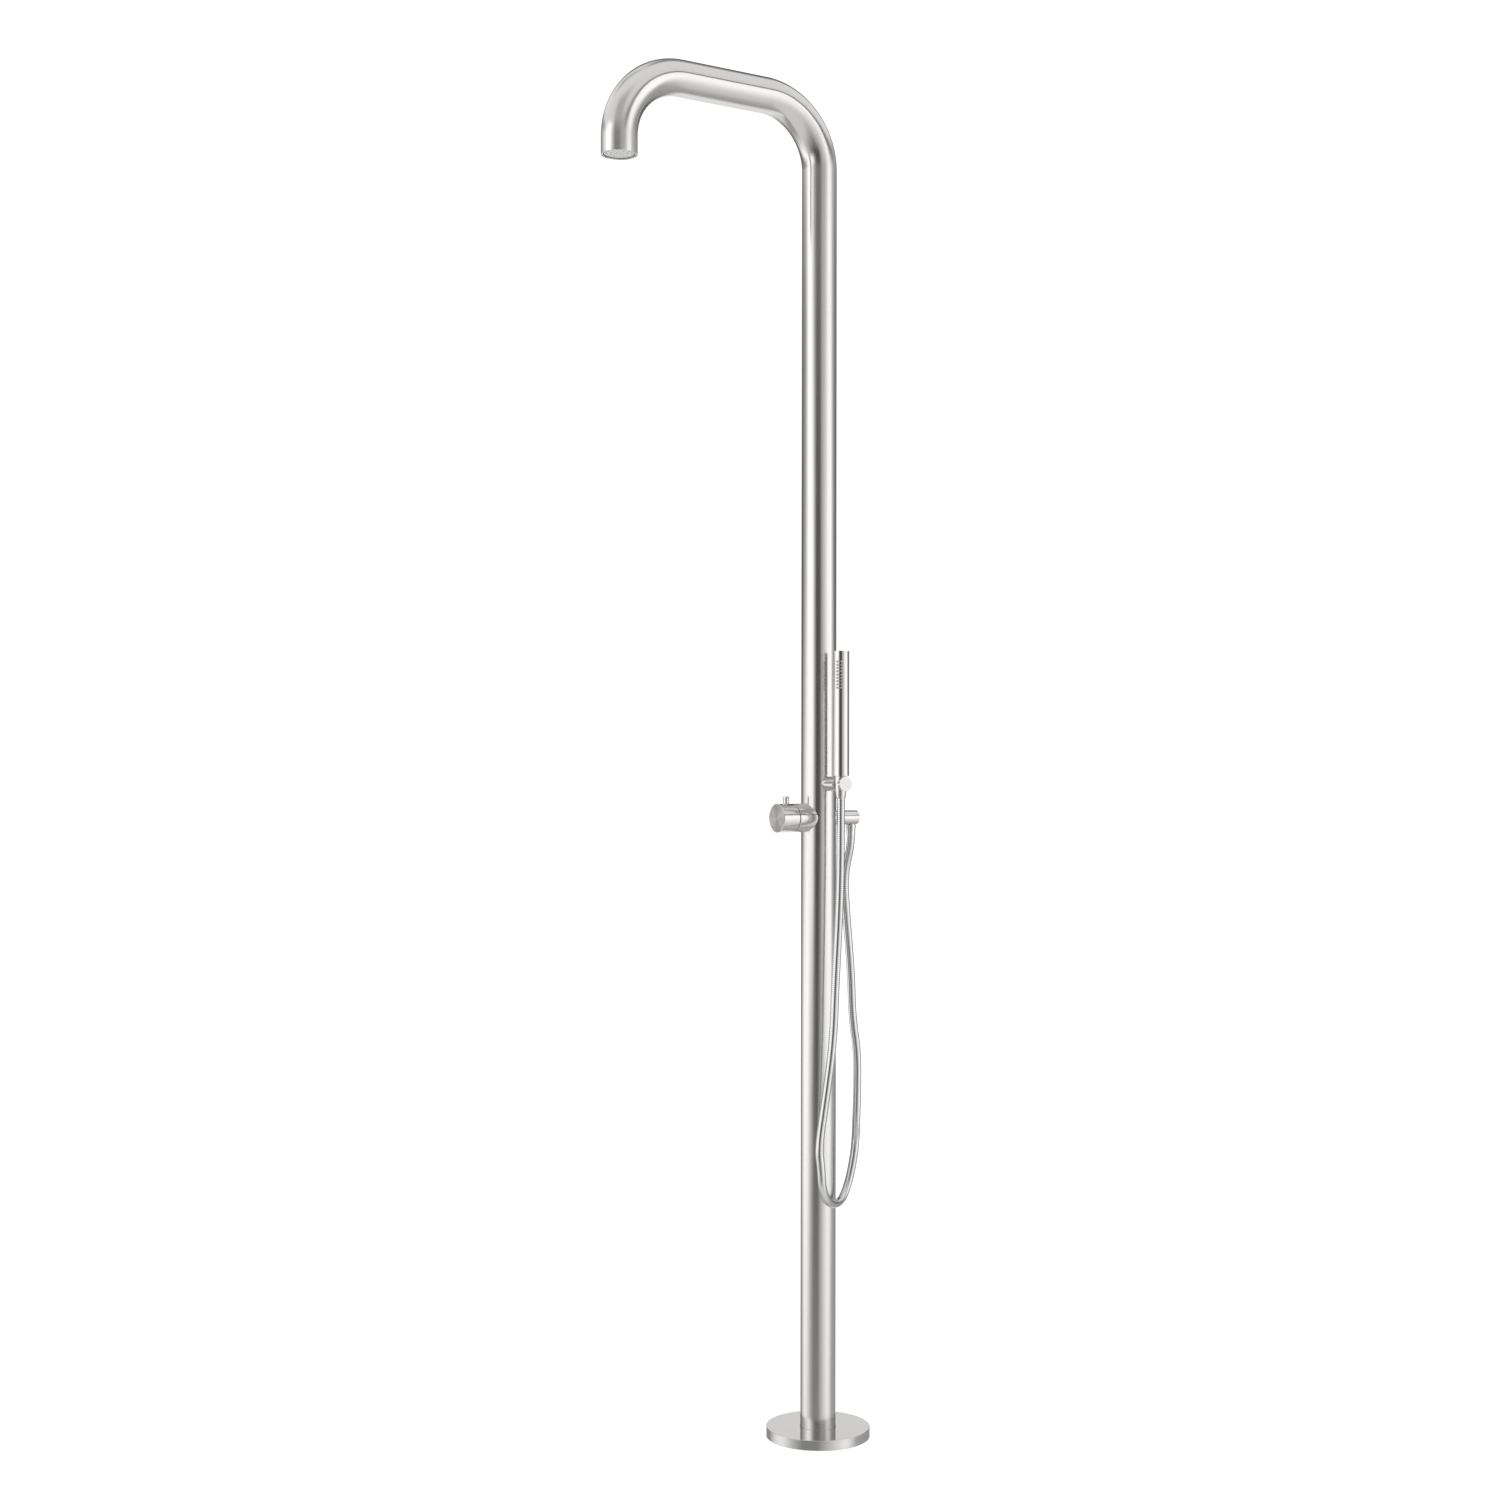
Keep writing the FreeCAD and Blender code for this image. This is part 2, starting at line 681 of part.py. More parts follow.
def control_handle():
    """Turned handle with its recess, hub bore, pin hole and grub screw hole."""
    radius = S.control_dia / 2
    start = handle_start()
    floor = start + S.handle_recess
    bore = S.adapter_dia / 2 + S.fit_gap
    body = turned("handle_blank", [
        (radius - S.handle_skirt, start), (radius, start),
        (radius, S.control_reach - S.handle_edge), (radius - S.handle_edge, S.control_reach),
        (0, S.control_reach), (0, hub_end()), (bore, hub_end()), (bore, floor),
        (radius - S.handle_skirt, floor)])
    place(body, z=S.valve_height, turn=FRONT)
    pin_hole = cylinder(S.pin_dia / 2 + S.fit_gap, radius, y=-S.pin_reach,
                        z=S.valve_height + radius - S.pin_root)
    screw_hole = cylinder(S.screw_dia / 2 + S.fit_gap, radius, y=-S.pin_reach,
                          z=S.valve_height - radius)
    keep("control_handle", cut(body, pin_hole, screw_hole))
    sleeve = turned("stem_adapter", ring(S.spline_dia / 2 + S.fit_gap, S.adapter_dia / 2,
                                         S.adapter_start, hub_end()))
    keep("stem_adapter", place(sleeve, z=S.valve_height, turn=FRONT))


def lever_pin():
    """Stubby lever on the top of the handle, with a rounded-off top edge."""
    radius = S.pin_dia / 2
    top = S.pin_root + S.pin_rise
    body = turned("lever_pin", [
        (0, 0), (radius, 0), (radius, top - S.handle_edge), (radius - S.handle_edge, top), (0, top)])
    keep("lever_pin", place(body, y=-S.pin_reach, z=S.valve_height + S.control_dia / 2 - S.pin_root))


def handle_screw():
    """Grub screw from below that locks the handle on its adapter, with a hexagon socket."""
    start = S.adapter_dia / 2
    shank = cylinder(S.screw_dia / 2, S.screw_length, y=-S.pin_reach, z=S.valve_height - start,
                     turn=DOWN)
    socket = prism(S.screw_dia / 2, S.screw_length / 2, y=-S.pin_reach,
                   z=S.valve_height - start - S.screw_length / 2, turn=DOWN)
    keep("handle_screw", cut(shank, socket))


# ---------------------------------------------------------------- outlet

def outlet_body():
    """Hose outlet at the back: a round bar saddled to the post, with a stub into the valve."""
    stub_start = S.port_depth + S.seal_thick
    stub_end = S.tube_dia / 2 + S.tube_wall
    bar = cylinder(S.outlet_dia / 2, S.outlet_reach, z=S.valve_height, turn=BACK)
    saddle = cut(bar, post_bar(S.valve_height, S.outlet_dia * 2))
    stub = cylinder(S.stub_dia / 2, stub_end - stub_start, y=stub_start, z=S.valve_height, turn=BACK)
    bore = cylinder(S.stub_bore / 2, S.outlet_axis - stub_start + S.passage_dia / 2, y=stub_start,
                    z=S.valve_height, turn=BACK)
    socket = cylinder(S.nipple_dia / 2 + S.fit_gap, S.nipple_root, y=S.outlet_axis,
                      z=S.valve_height - S.outlet_dia / 2)
    drop = cylinder(S.nipple_bore / 2, S.outlet_dia / 2, y=S.outlet_axis,
                    z=S.valve_height - S.outlet_dia / 2)
    keep("outlet_body", cut(fuse(saddle, stub), bore, socket, drop))
    washer = turned("outlet_seal", ring(S.stub_bore / 2, S.stub_dia / 2, S.port_depth, stub_start))
    keep("outlet_seal", place(washer, z=S.valve_height, turn=BACK))
    valve = turned("check_valve", ring(S.nipple_bore / 4, S.stub_bore / 2 - S.fit_gap / 2,
                                       S.check_start, S.check_start + S.check_length))
    keep("check_valve", place(valve, z=S.valve_height, turn=BACK))


def nipple_top():
    return S.valve_height - S.outlet_dia / 2 + S.nipple_root


def outlet_hose_end():
    """Height of the lower face of the outlet nut, where the hose starts."""
    return nipple_top() - S.nipple_length - S.seal_thick - S.nut_floor


def outlet_fittings():
    """Nipple, hose nut, washer and hose tail under the outlet. Heights run down from its root."""
    washer = S.nipple_length + S.seal_thick
    end = washer + S.nut_floor
    bore = S.nipple_dia / 2 + S.fit_gap
    nut_start = S.nipple_root + S.nut_top
    nipple = turned("outlet_nipple", ring(S.nipple_bore / 2, S.nipple_dia / 2, 0, S.nipple_length))
    seal = turned("outlet_washer", ring(S.tail_bore / 2, S.nipple_dia / 2, S.nipple_length, washer))
    nut = turned("outlet_nut", [
        (bore, nut_start), (S.nut_dia / 2, nut_start), (S.nut_dia / 2, washer),
        (S.nut_tail / 2, end), (S.tail_dia / 2 + S.fit_gap, end),
        (S.tail_dia / 2 + S.fit_gap, washer), (bore, washer)])
    tail = turned("outlet_tail", ring(S.tail_bore / 2, S.tail_dia / 2, washer, end))
    for name, body in (("outlet_nipple", nipple), ("outlet_washer", seal), ("outlet_nut", nut),
                       ("outlet_tail", tail)):
        keep(name, place(body, y=S.outlet_axis, z=nipple_top(), turn=DOWN))


# ---------------------------------------------------------------- holder and cone nut

def holder_arm():
    """Holder bar with a conical seat for the cone nut and a slot for the hose on its front."""
    taper = (S.cone_top_dia - S.cone_low_dia) / 2 / S.holder_dia
    bar = cylinder(S.holder_dia / 2, S.holder_reach, z=S.holder_height, turn=RIGHT)
    seat = doc.addObject("Part::Cone", "cone_seat")
    low = S.cone_low_dia / 2 + S.seat_gap - taper * S.cone_rise
    high = S.cone_top_dia / 2 + S.seat_gap + taper * S.cone_rise
    for prop, size in (("Radius1", low), ("Radius2", high),
                       ("Height", S.holder_dia + S.cone_rise * 2)):
        setattr(seat, prop, number(size))
        bind(seat, prop, size)
    place(seat, x=S.handset_axis, z=S.holder_height - S.holder_dia / 2 - S.cone_rise)
    slot = box(S.slot_width, S.holder_dia, S.holder_dia * 2, S.handset_axis - S.slot_width / 2,
               -S.holder_dia, S.holder_height - S.holder_dia)
    thread = cylinder(S.stud_dia / 2 + S.fit_gap, S.tube_dia / 2 + S.stud_depth, z=S.holder_height,
                      turn=RIGHT)
    keep("holder_arm", cut(bar, seat, slot, thread, post_bar(S.holder_height, S.holder_dia * 2)))


def holder_screw():
    """Screw from inside the post that holds the holder, its head against the tube's wall."""
    inner = S.tube_dia / 2 - S.tube_wall
    start = root(inner * inner - S.stud_head * S.stud_head / 4) - S.fit_gap
    end = S.tube_dia / 2 + S.stud_depth - S.fit_gap
    head = prism(S.stud_head * root(3) / 2, S.stud_head_thick, x=start - S.stud_head_thick,
                 z=S.holder_height, turn=RIGHT)
    shank = cylinder(S.stud_dia / 2, end - start, x=start, z=S.holder_height, turn=RIGHT)
    keep("holder_screw", fuse(head, shank))


def cone_height(rise):
    return S.holder_height + rise


def cone_fittings():
    """Cone nut of the hose in the holder's seat, with its hose tail and washer."""
    half = S.holder_dia / 2
    top = half + S.cone_rise
    seat = top - S.cone_bore_depth
    tip = -half - S.cone_drop
    bore = S.cone_bore / 2
    tail = S.tail_dia / 2 + S.fit_gap
    nut = turned("cone_nut", [
        (bore, top), (S.cone_top_dia / 2, top), (S.cone_top_dia / 2, half),
        (S.cone_low_dia / 2, -half), (S.cone_tip_dia / 2, tip), (tail, tip), (tail, seat),
        (bore, seat)])
    washer = turned("cone_washer", ring(S.tail_bore / 2, bore - S.fit_gap, seat,
                                        seat + S.seal_thick))
    stem = turned("cone_tail", ring(S.tail_bore / 2, S.tail_dia / 2, tip, seat))
    for name, body in (("cone_nut", nut), ("cone_washer", washer), ("cone_tail", stem)):
        keep(name, place(body, x=S.handset_axis, z=S.holder_height))


def cone_hose_end():
    return S.holder_height - S.holder_dia / 2 - S.cone_drop


# ---------------------------------------------------------------- handset

def handset_foot():
    return S.holder_height + S.holder_dia / 2 + S.cone_rise + S.seat_gap


def nozzle_fan(body, sketch_name, radius, length, cutting):
    """One nozzle outline on the front, copied into the rows and columns of the spray face."""
    sketch = circle(sketch_on(body, "XZ_Plane", sketch_name), radius, 0, S.nozzle_first)
    if cutting:
        feature = pocket(body, sketch, length, f"{sketch_name}_cut", reverse=True)
    else:
        feature = pad(body, sketch, length, f"{sketch_name}_stub")
    return grid_pattern(body, feature, f"{sketch_name}_grid")


def place_spray(body):
    """Stands a handset piece on the handset's axis, the fan of nozzles centred on the front."""
    place(body, x=S.handset_axis, z=handset_foot(), turn=FreeCAD.Rotation(
        FreeCAD.Vector(0, 0, 1), number(S.spray_span / 2)))
    bind(body, "Placement.Rotation.Angle", S.spray_span / 2)
    return body


def handset_tube():
    radius = S.handset_dia / 2
    body = turned("handset_tube", ring(radius - S.handset_wall, radius, 0, S.handset_length))
    nozzle_fan(body, "nozzle_hole", S.nozzle_dia / 2 + S.nozzle_room, radius + S.nozzle_rise, True)
    keep("handset_tube", place_spray(body))


def spray_insert():
    """Soft nozzle sleeve inside the handset. Its nozzles stand out through the tube's holes."""
    radius = S.handset_dia / 2 - S.handset_wall - S.fit_gap
    low = S.nozzle_first - S.insert_margin
    high = S.handset_length - S.cap_thick - S.seat_gap
    body = turned("spray_insert", [(0, low), (radius, low), (radius, high), (0, high)])
    nozzle_fan(body, "nozzle", S.nozzle_dia / 2, S.handset_dia / 2 + S.nozzle_rise, False)
    bore = circle(sketch_on(body, "XY_Plane", "insert_bore", low), radius - S.insert_wall)
    body.Tip = pocket(body, bore, high - low, "insert_bore_cut", reverse=True)
    keep("spray_insert", place_spray(body))


def handset_ends():
    """Threaded plug at the handset's foot and the flat cap at its top."""
    radius = S.handset_dia / 2 - S.handset_wall - S.fit_gap
    spigot = S.cone_bore / 2 - S.run_gap
    bore = S.spigot_bore / 2
    plug = turned("handset_plug", [
        (bore, -S.spigot_length), (spigot, -S.spigot_length), (spigot, 0), (radius, 0),
        (radius, S.plug_thick), (bore, S.plug_thick)])
    low = S.handset_length - S.cap_thick
    cap = turned("handset_cap", [(0, low), (radius, low), (radius, S.handset_length),
                                 (0, S.handset_length)])
    for name, body in (("handset_plug", plug), ("handset_cap", cap)):
        keep(name, place(body, x=S.handset_axis, z=handset_foot()))


# ---------------------------------------------------------------- overhead shower

def insert_top():
    return S.plate_recess + S.plate_thick + S.insert_disc


def valve_nipple():
    """Nipple on top of the valve: a root in the block, a hexagon and a barb for the head hose."""
    high = S.valve_height + S.block_height / 2
    barb = S.head_hose_dia / 2 - S.head_hose_wall - S.fit_gap
    root_bar = cylinder(S.nipple_dia / 2, S.port_depth, z=high - S.port_depth)
    hexagon = prism(S.nipple_flats, S.nipple_hex, z=high)
    barb_bar = cylinder(barb, S.barb_length, z=high + S.nipple_hex)
    bore = cylinder(S.nipple_bore / 2, S.port_depth + S.nipple_hex + S.barb_length,
                    z=high - S.port_depth)
    keep("valve_nipple", cut(fuse(root_bar, hexagon, barb_bar), bore))


def head_hose():
    """Inner hose from the valve through post and arm to the spray insert, with its ferrules."""
    start = S.valve_height + S.block_height / 2 + S.nipple_hex
    end = spout_end() + insert_top()
    keep("head_hose", bent_tube("head_hose", S.head_hose_dia, S.head_hose_wall, start, end))
    inner = S.head_hose_dia / 2 + S.fit_gap
    outer = inner + S.ferrule_wall
    lower = cut(cylinder(outer, S.ferrule_length, z=start + S.ferrule_wall),
                cylinder(inner, S.ferrule_length, z=start + S.ferrule_wall))
    upper = cut(cylinder(outer, S.ferrule_length, y=-S.arm_reach, z=end + S.ferrule_wall),
                cylinder(inner, S.ferrule_length, y=-S.arm_reach, z=end + S.ferrule_wall))
    keep("head_ferrules", fuse(lower, upper))


def shower_insert():
    """Metal insert in the spout: rim, disc with a groove for its seal, and a barb for the hose."""
    radius = S.tube_dia / 2 - S.tube_wall - S.fit_gap
    rim = S.plate_dia / 2 + S.fit_gap
    back = S.plate_recess + S.plate_thick
    groove = groove_top() - S.seal_groove
    floor = radius - S.seal_width
    barb = S.head_hose_dia / 2 - S.head_hose_wall - S.fit_gap
    top = insert_top()
    bore = S.nipple_bore / 2
    body = turned("insert_blank", [
        (rim, S.insert_recess), (radius, S.insert_recess), (radius, groove), (floor, groove),
        (floor, groove + S.seal_groove), (radius, groove + S.seal_groove), (radius, top),
        (barb, top), (barb, top + S.barb_length), (bore, top + S.barb_length), (bore, back),
        (rim, back)])
    place(body, y=-S.arm_reach, z=spout_end())
    hole = cylinder(S.set_screw_dia / 2 + S.fit_gap, S.set_screw_depth,
                    y=radius - S.set_screw_depth - S.arm_reach, z=set_screw_height(), turn=BACK)
    keep("shower_insert", cut(body, hole))
    seal = turned("insert_seal", ring(floor + S.fit_gap / 2, radius + S.fit_gap / 2,
                                      groove + S.fit_gap, groove + S.seal_groove - S.fit_gap))
    keep("insert_seal", place(seal, y=-S.arm_reach, z=spout_end()))
    screw_start = radius - S.set_screw_depth
    keep("insert_screw", cylinder(
        S.set_screw_dia / 2, S.tube_dia / 2 - screw_start, y=screw_start - S.arm_reach,
        z=set_screw_height(), turn=BACK))


def nozzle_plate():
    """Soft nozzle plate in the insert's rim, with a centre jet and three rings of jets."""
    low = S.plate_recess
    high = low + S.plate_thick
    body = turned("nozzle_plate", [(0, low), (S.plate_dia / 2, low), (S.plate_dia / 2, high),
                                   (0, high)])
    centre = circle(sketch_on(body, "XY_Plane", "jet_centre", low), S.jet_dia / 2)
    pad(body, centre, S.jet_length, "jet_centre_stub", reverse=True)
    for number_of_ring in (1, 2, 3):
        name = f"jet_ring_{number_of_ring}"
        sketch = circle(sketch_on(body, "XY_Plane", name, low), S.jet_dia / 2,
                        S.jet_spacing * number_of_ring, 0)
        stub = pad(body, sketch, S.jet_length, f"{name}_stub", reverse=True)
        round_pattern(body, stub, S.jet_step * number_of_ring, f"{name}_jets")
    keep("nozzle_plate", place(body, y=-S.arm_reach, z=spout_end()))


# ---------------------------------------------------------------- hose

def hose_points():
    """The route's points, from the face of the cone nut to the face of the outlet nut."""
    cone = FreeCAD.Vector(number(S.handset_axis), 0, number(cone_hose_end()))
    outlet = FreeCAD.Vector(0, number(S.outlet_axis), number(outlet_hose_end()))
    cone_run = cone - FreeCAD.Vector(0, 0, HOSE_CONE_RUN)
    outlet_run = outlet - FreeCAD.Vector(0, 0, HOSE_OUTLET_RUN)
    fall = (cone_run.z - HOSE_LOW_HEIGHT) / HOSE_FALL_HEIGHT
    rise = (outlet_run.z - HOSE_LOW_HEIGHT) / HOSE_RISE_HEIGHT
    points = [cone, cone_run]
    points += [FreeCAD.Vector(x, y, HOSE_LOW_HEIGHT + z * fall) for x, y, z in HOSE_FALL]
    points.append(FreeCAD.Vector(*HOSE_LOWEST, HOSE_LOW_HEIGHT))
    points += [FreeCAD.Vector(x, y, HOSE_LOW_HEIGHT + z * rise) for x, y, z in HOSE_RISE]
    return points + [outlet_run, outlet]


def rounded_route(points):
    """Straight runs joined by tangent arcs as large as their two runs allow."""
    edges = []
    radii = []
    start = points[0]
    for before, corner, after in zip(points, points[1:], points[2:]):
        run_in = corner - before
        run_out = after - corner
        half_turn = run_in.getAngle(run_out) / 2
        reach = ARC_SHARE * min(run_in.Length, run_out.Length)
        radii.append(reach / math.tan(half_turn))
        back = before - corner
        on = after - corner
        back.normalize()
        on.normalize()
        middle = back + on
        middle.normalize()
        tangent_in = corner + back * reach
        tangent_out = corner + on * reach
        to_centre = radii[-1] / math.cos(half_turn)
        apex = corner + middle * (to_centre - radii[-1])
        edges.append(Part.LineSegment(start, tangent_in).toShape())
        edges.append(Part.Arc(tangent_in, apex, tangent_out).toShape())
        start = tangent_out
    edges.append(Part.LineSegment(start, points[-1]).toShape())
    return Part.Wire(edges), radii


def swept_bar(wire, radius):
    """A round bar along the route."""
    first = wire.Edges[0]
    direction = first.tangentAt(first.FirstParameter)
    section = Part.Wire(Part.Circle(wire.Edges[0].Vertexes[0].Point, direction, radius).toShape())
    return wire.makePipeShell([section], True, False)


def hose_tube():
    """Shower hose as a plain tube along its route."""
    wire, radii = rounded_route(hose_points())
    outer = number(S.hose_dia) / 2
    inner = outer - number(S.hose_wall)
    shape = swept_bar(wire, outer).cut(swept_bar(wire, inner))
    feature = doc.addObject("Part::Feature", "hose_tube")
    feature.Shape = shape.Solids[0]
    expected = math.pi * (outer ** 2 - inner ** 2) * wire.Length
    print("hose length", round(wire.Length, 1), "mm, smallest radii",
          [round(radius) for radius in sorted(radii)[:4]])
    print("hose volume over section times length", round(shape.Volume / expected, 5))
    keep("hose_tube", feature)


# ---------------------------------------------------------------- whole post

def check():
    """Stops if any object failed, any cut took nothing away or any sub-part has no valid shape."""
    for obj in doc.Objects:
        if "Invalid" in obj.State or "Error" in obj.State:
            raise RuntimeError(f"{obj.Label} failed: {obj.State}")
    for feature in CUTS:
        base = feature.Base if hasattr(feature, "Base") else feature.BaseFeature
        if feature.Shape.Volume > base.Shape.Volume - 0.01:
            raise RuntimeError(f"{feature.Label} takes nothing away")
    for name, obj in NODES.items():
        shape = obj.Shape
        if shape.isNull() or not shape.isValid() or not shape.Solids:
            raise RuntimeError(f"{name} has no valid shape")


def main():
    riser_tube()
    mounting_flange()
    base_cover()
    inlet_union()
    supply_pipe()
    valve_housing()
    cartridge()
    cartridge_stem()
    control_collar()
    control_handle()
    lever_pin()
    handle_screw()
    outlet_body()
    outlet_fittings()
    holder_arm()
    holder_screw()
    cone_fittings()
    handset_tube()
    spray_insert()
    handset_ends()
    valve_nipple()
    head_hose()
    shower_insert()
    nozzle_plate()
    hose_tube()
    doc.recompute()
    check()
    os.makedirs("parts", exist_ok=True)
    for name, obj in NODES.items():
        obj.Shape.exportStep(f"parts/{name}.step")
        solids = len(obj.Shape.Solids)
        print(f"{name}: {solids} solid(s), {obj.Shape.Volume / 1000:.2f} cm3")


main()
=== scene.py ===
"""Outdoor shower post: the looks of every piece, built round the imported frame.

Metres, in the frame's own axes: +Z up, arm and control along -Y, the hand shower's holder along +X
and the hose outlet along +Y. Sizes come from the frame where a CAD node holds them. What is left is
fine detail: edges, seams, ribs, nozzles and the grain of the steel.
"""
from __future__ import annotations

import json
import logging
import math
from dataclasses import dataclass
from enum import Enum
from typing import Callable, Iterable, Sequence

import bmesh
import bpy
from mathutils import Matrix, Vector

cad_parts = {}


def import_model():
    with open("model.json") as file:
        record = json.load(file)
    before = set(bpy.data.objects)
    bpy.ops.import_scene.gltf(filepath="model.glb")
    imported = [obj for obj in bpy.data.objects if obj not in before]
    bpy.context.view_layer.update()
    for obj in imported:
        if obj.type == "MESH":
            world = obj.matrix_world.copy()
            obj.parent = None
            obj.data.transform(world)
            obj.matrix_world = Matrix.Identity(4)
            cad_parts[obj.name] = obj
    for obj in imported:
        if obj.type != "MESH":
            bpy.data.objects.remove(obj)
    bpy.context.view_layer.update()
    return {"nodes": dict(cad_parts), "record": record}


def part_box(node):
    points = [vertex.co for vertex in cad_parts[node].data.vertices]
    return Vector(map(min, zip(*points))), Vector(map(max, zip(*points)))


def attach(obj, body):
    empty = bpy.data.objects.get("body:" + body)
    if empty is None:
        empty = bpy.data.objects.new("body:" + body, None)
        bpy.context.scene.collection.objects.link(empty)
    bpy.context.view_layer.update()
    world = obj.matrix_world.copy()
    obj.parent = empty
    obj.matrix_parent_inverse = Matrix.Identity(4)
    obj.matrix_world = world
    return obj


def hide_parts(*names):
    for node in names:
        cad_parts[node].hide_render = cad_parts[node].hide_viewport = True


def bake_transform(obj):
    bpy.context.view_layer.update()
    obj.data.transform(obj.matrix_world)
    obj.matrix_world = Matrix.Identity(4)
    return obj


log = logging.getLogger("shower_post")

Colour = tuple[float, float, float]
Corner = tuple[float, float]
Span = tuple[float, float]
Stops = tuple[tuple[float, float], ...]
Socket = bpy.types.NodeSocket
Piece = bpy.types.Object
Material = bpy.types.Material
MM = 0.001
UP = Vector((0.0, 0.0, 1.0))
WHITE = (1.0, 1.0, 1.0, 1.0)
# Nearly all values of a noise texture lie in this span.
NOISE_SPAN = (0.3, 0.7)
# Edges that turn by more than these angles are rounded, and on nozzles shaded sharp.
EDGE_ANGLE = math.radians(35)
NOZZLE_CREASE = math.radians(50)
# How closely a face looks along the axis on a flat end, and outward on a round wall.
FLAT = 0.99
CURVED = 0.98
# How far a cutting tool reaches past what it cuts, and how near points are merged.
REACH_PAST = 1.0 * MM
MERGE = 0.001 * MM


class Body(Enum):
    """The rigid bodies of the frame that pieces ride on."""

    POST = "post"
    COVER = "cover"
    HANDLE = "handle"
    HOSE_END = "hose_end"
    HANDSET = "handset"


class Slot(Enum):
    """The record's material slots."""

    BRUSHED = "steel_brushed"
    TURNED = "steel_turned"
    PLAIN = "steel_plain"
    HOSE = "hose_metal"
    BRASS = "brass"
    SILICONE = "silicone_grey"
    SEAL = "seal_black"
    RUBBER = "hose_rubber"
    PLASTIC = "plastic_white"
    CERAMIC = "ceramic"


class Side(Enum):
    """Sides of the post that carry something, as the local axes of what is built for them."""

    FRONT = ((1, 0, 0), (0, 0, 1), (0, -1, 0))
    RIGHT = ((0, 1, 0), (0, 0, 1), (1, 0, 0))
    BACK = ((-1, 0, 0), (0, 0, 1), (0, 1, 0))

    def at(self, height: float) -> Matrix:
        """The place of a side piece: local Z points outward and local Y up.

        Args:
            height: Height of the piece's axis on the post.

        Returns:
            The matrix from the piece's own axes to the frame's.
        """
        turn = Matrix(self.value).transposed()
        return Matrix.Translation((0, 0, height)) @ turn.to_4x4()

    def spindle(self, height: float) -> Spindle:
        """The axis of what is turned for this side at a height."""
        return Spindle(Vector((0, 0, height)), Vector(self.value[2]))


class Grain(Enum):
    """How the surface of a steel piece was worked."""

    ALONG = "along the tube"
    ROUND = "round the lathe's axis"
    NONE = "none"


@dataclass(frozen=True)
class Spindle:
    """The axis that a piece was turned on."""

    centre: Vector
    direction: Vector


@dataclass(frozen=True)
class Extent:
    """The box of a CAD node, which its visible piece takes its sizes from."""

    low: Vector
    high: Vector

    @classmethod
    def of(cls, node: str) -> Extent:
        """Reads a node's box from the frame."""
        return cls(*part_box(node))

    @property
    def middle(self) -> Vector:
        """Centre of the box."""
        return (self.low + self.high) / 2

    @property
    def half(self) -> Vector:
        """Half the box's size along each axis, which is the radius of a round piece."""
        return (self.high - self.low) / 2

    @property
    def spindle(self) -> Spindle:
        """The upright axis of a piece that was turned about the box's middle."""
        return Spindle(Vector((self.middle.x, self.middle.y, 0)), UP)


# ---------------------------------------------------------------- finishes

class Wiring:
    """A node tree, with short ways to add nodes and to feed their inputs."""

    def __init__(self, tree: bpy.types.NodeTree) -> None:
        """Takes the tree to work on."""
        self.tree = tree

    def feed(self, node: bpy.types.Node, inputs: dict[str | int, object]) -> None:
        """Links inputs of a node to outputs of other nodes, or sets their values.

        Args:
            node: The node.
            inputs: An output or a value for each input's name or number.
        """
        for name, value in inputs.items():
            if isinstance(value, Socket):
                self.tree.links.new(value, node.inputs[name])
            else:
                node.inputs[name].default_value = value

    def add(self, kind: str, inputs: dict[str | int, object] | None = None,
            **settings: object) -> bpy.types.Node:
        """Adds a node.

        Args:
            kind: Type of the node.
            inputs: What its inputs are fed, as in feed.
            **settings: Properties of the node by name, set first.

        Returns:
            The new node.
        """
        node = self.tree.nodes.new(kind)
        for name, value in settings.items():
            setattr(node, name, value)
        self.feed(node, inputs or {})
        return node

    def vector(self, operation: str, *values: object) -> Socket:
        """Does vector maths on sockets or fixed vectors.

        Args:
            operation: The node's operation.
            *values: Its inputs, in order.

        Returns:
            The socket of the result.
        """
        node = self.add("ShaderNodeVectorMath", dict(enumerate(values)), operation=operation)
        return node.outputs["Value" if operation in ("DOT_PRODUCT", "LENGTH") else "Vector"]

    def ranged(self, value: Socket, source: Span, target: Span = (0.0, 1.0)) -> Socket:
        """Maps a value from one span to another and holds it at the ends.

        Args:
            value: Socket of the value.
            source: The values that give the ends.
            target: What they give.

        Returns:
            The socket of the mapped value.
        """
        node = self.add("ShaderNodeMapRange", {
            "Value": value, "From Min": source[0], "From Max": source[1],
            "To Min": target[0], "To Max": target[1]})
        return node.outputs["Result"]

    def mixed(self, share: Socket, first: object, second: object) -> Socket:
        """Mixes two colours.

        Args:
            share: Socket of the second colour's share.
            first: A socket or a colour with alpha.
            second: The other one.

        Returns:
            The socket of the colour.
        """
        node = self.add("ShaderNodeMix", {"Factor": share, "A": first, "B": second},
                        data_type="RGBA")
        return node.outputs["Result"]


class Sheet(Wiring):
    """The node tree of one material, round its Principled shader."""

    def __init__(self, name: str, inputs: dict[str, object]) -> None:
        """Starts a material.

        Args:
            name: Name of the material.
            inputs: What the shader's inputs are fed, as in feed.
        """
        self.material = bpy.data.materials.new(name)
        self.material.use_nodes = True
        super().__init__(self.material.node_tree)
        self.shader = self.tree.nodes["Principled BSDF"]
        self.feed(self.shader, inputs)

    def place(self) -> Socket:
        """The socket of the point's place on the object."""
        return self.add("ShaderNodeTexCoord").outputs["Object"]

    def noise(self, where: Socket, scale: float, detail: float) -> Socket:
        """Adds a noise texture.

        Args:
            where: Socket with the coordinates.
            scale: Scale of the noise.
            detail: Its octaves.

        Returns:
            The socket of its value.
        """
        node = self.add("ShaderNodeTexNoise", {"Vector": where, "Scale": scale, "Detail": detail})
        return node.outputs["Fac"]


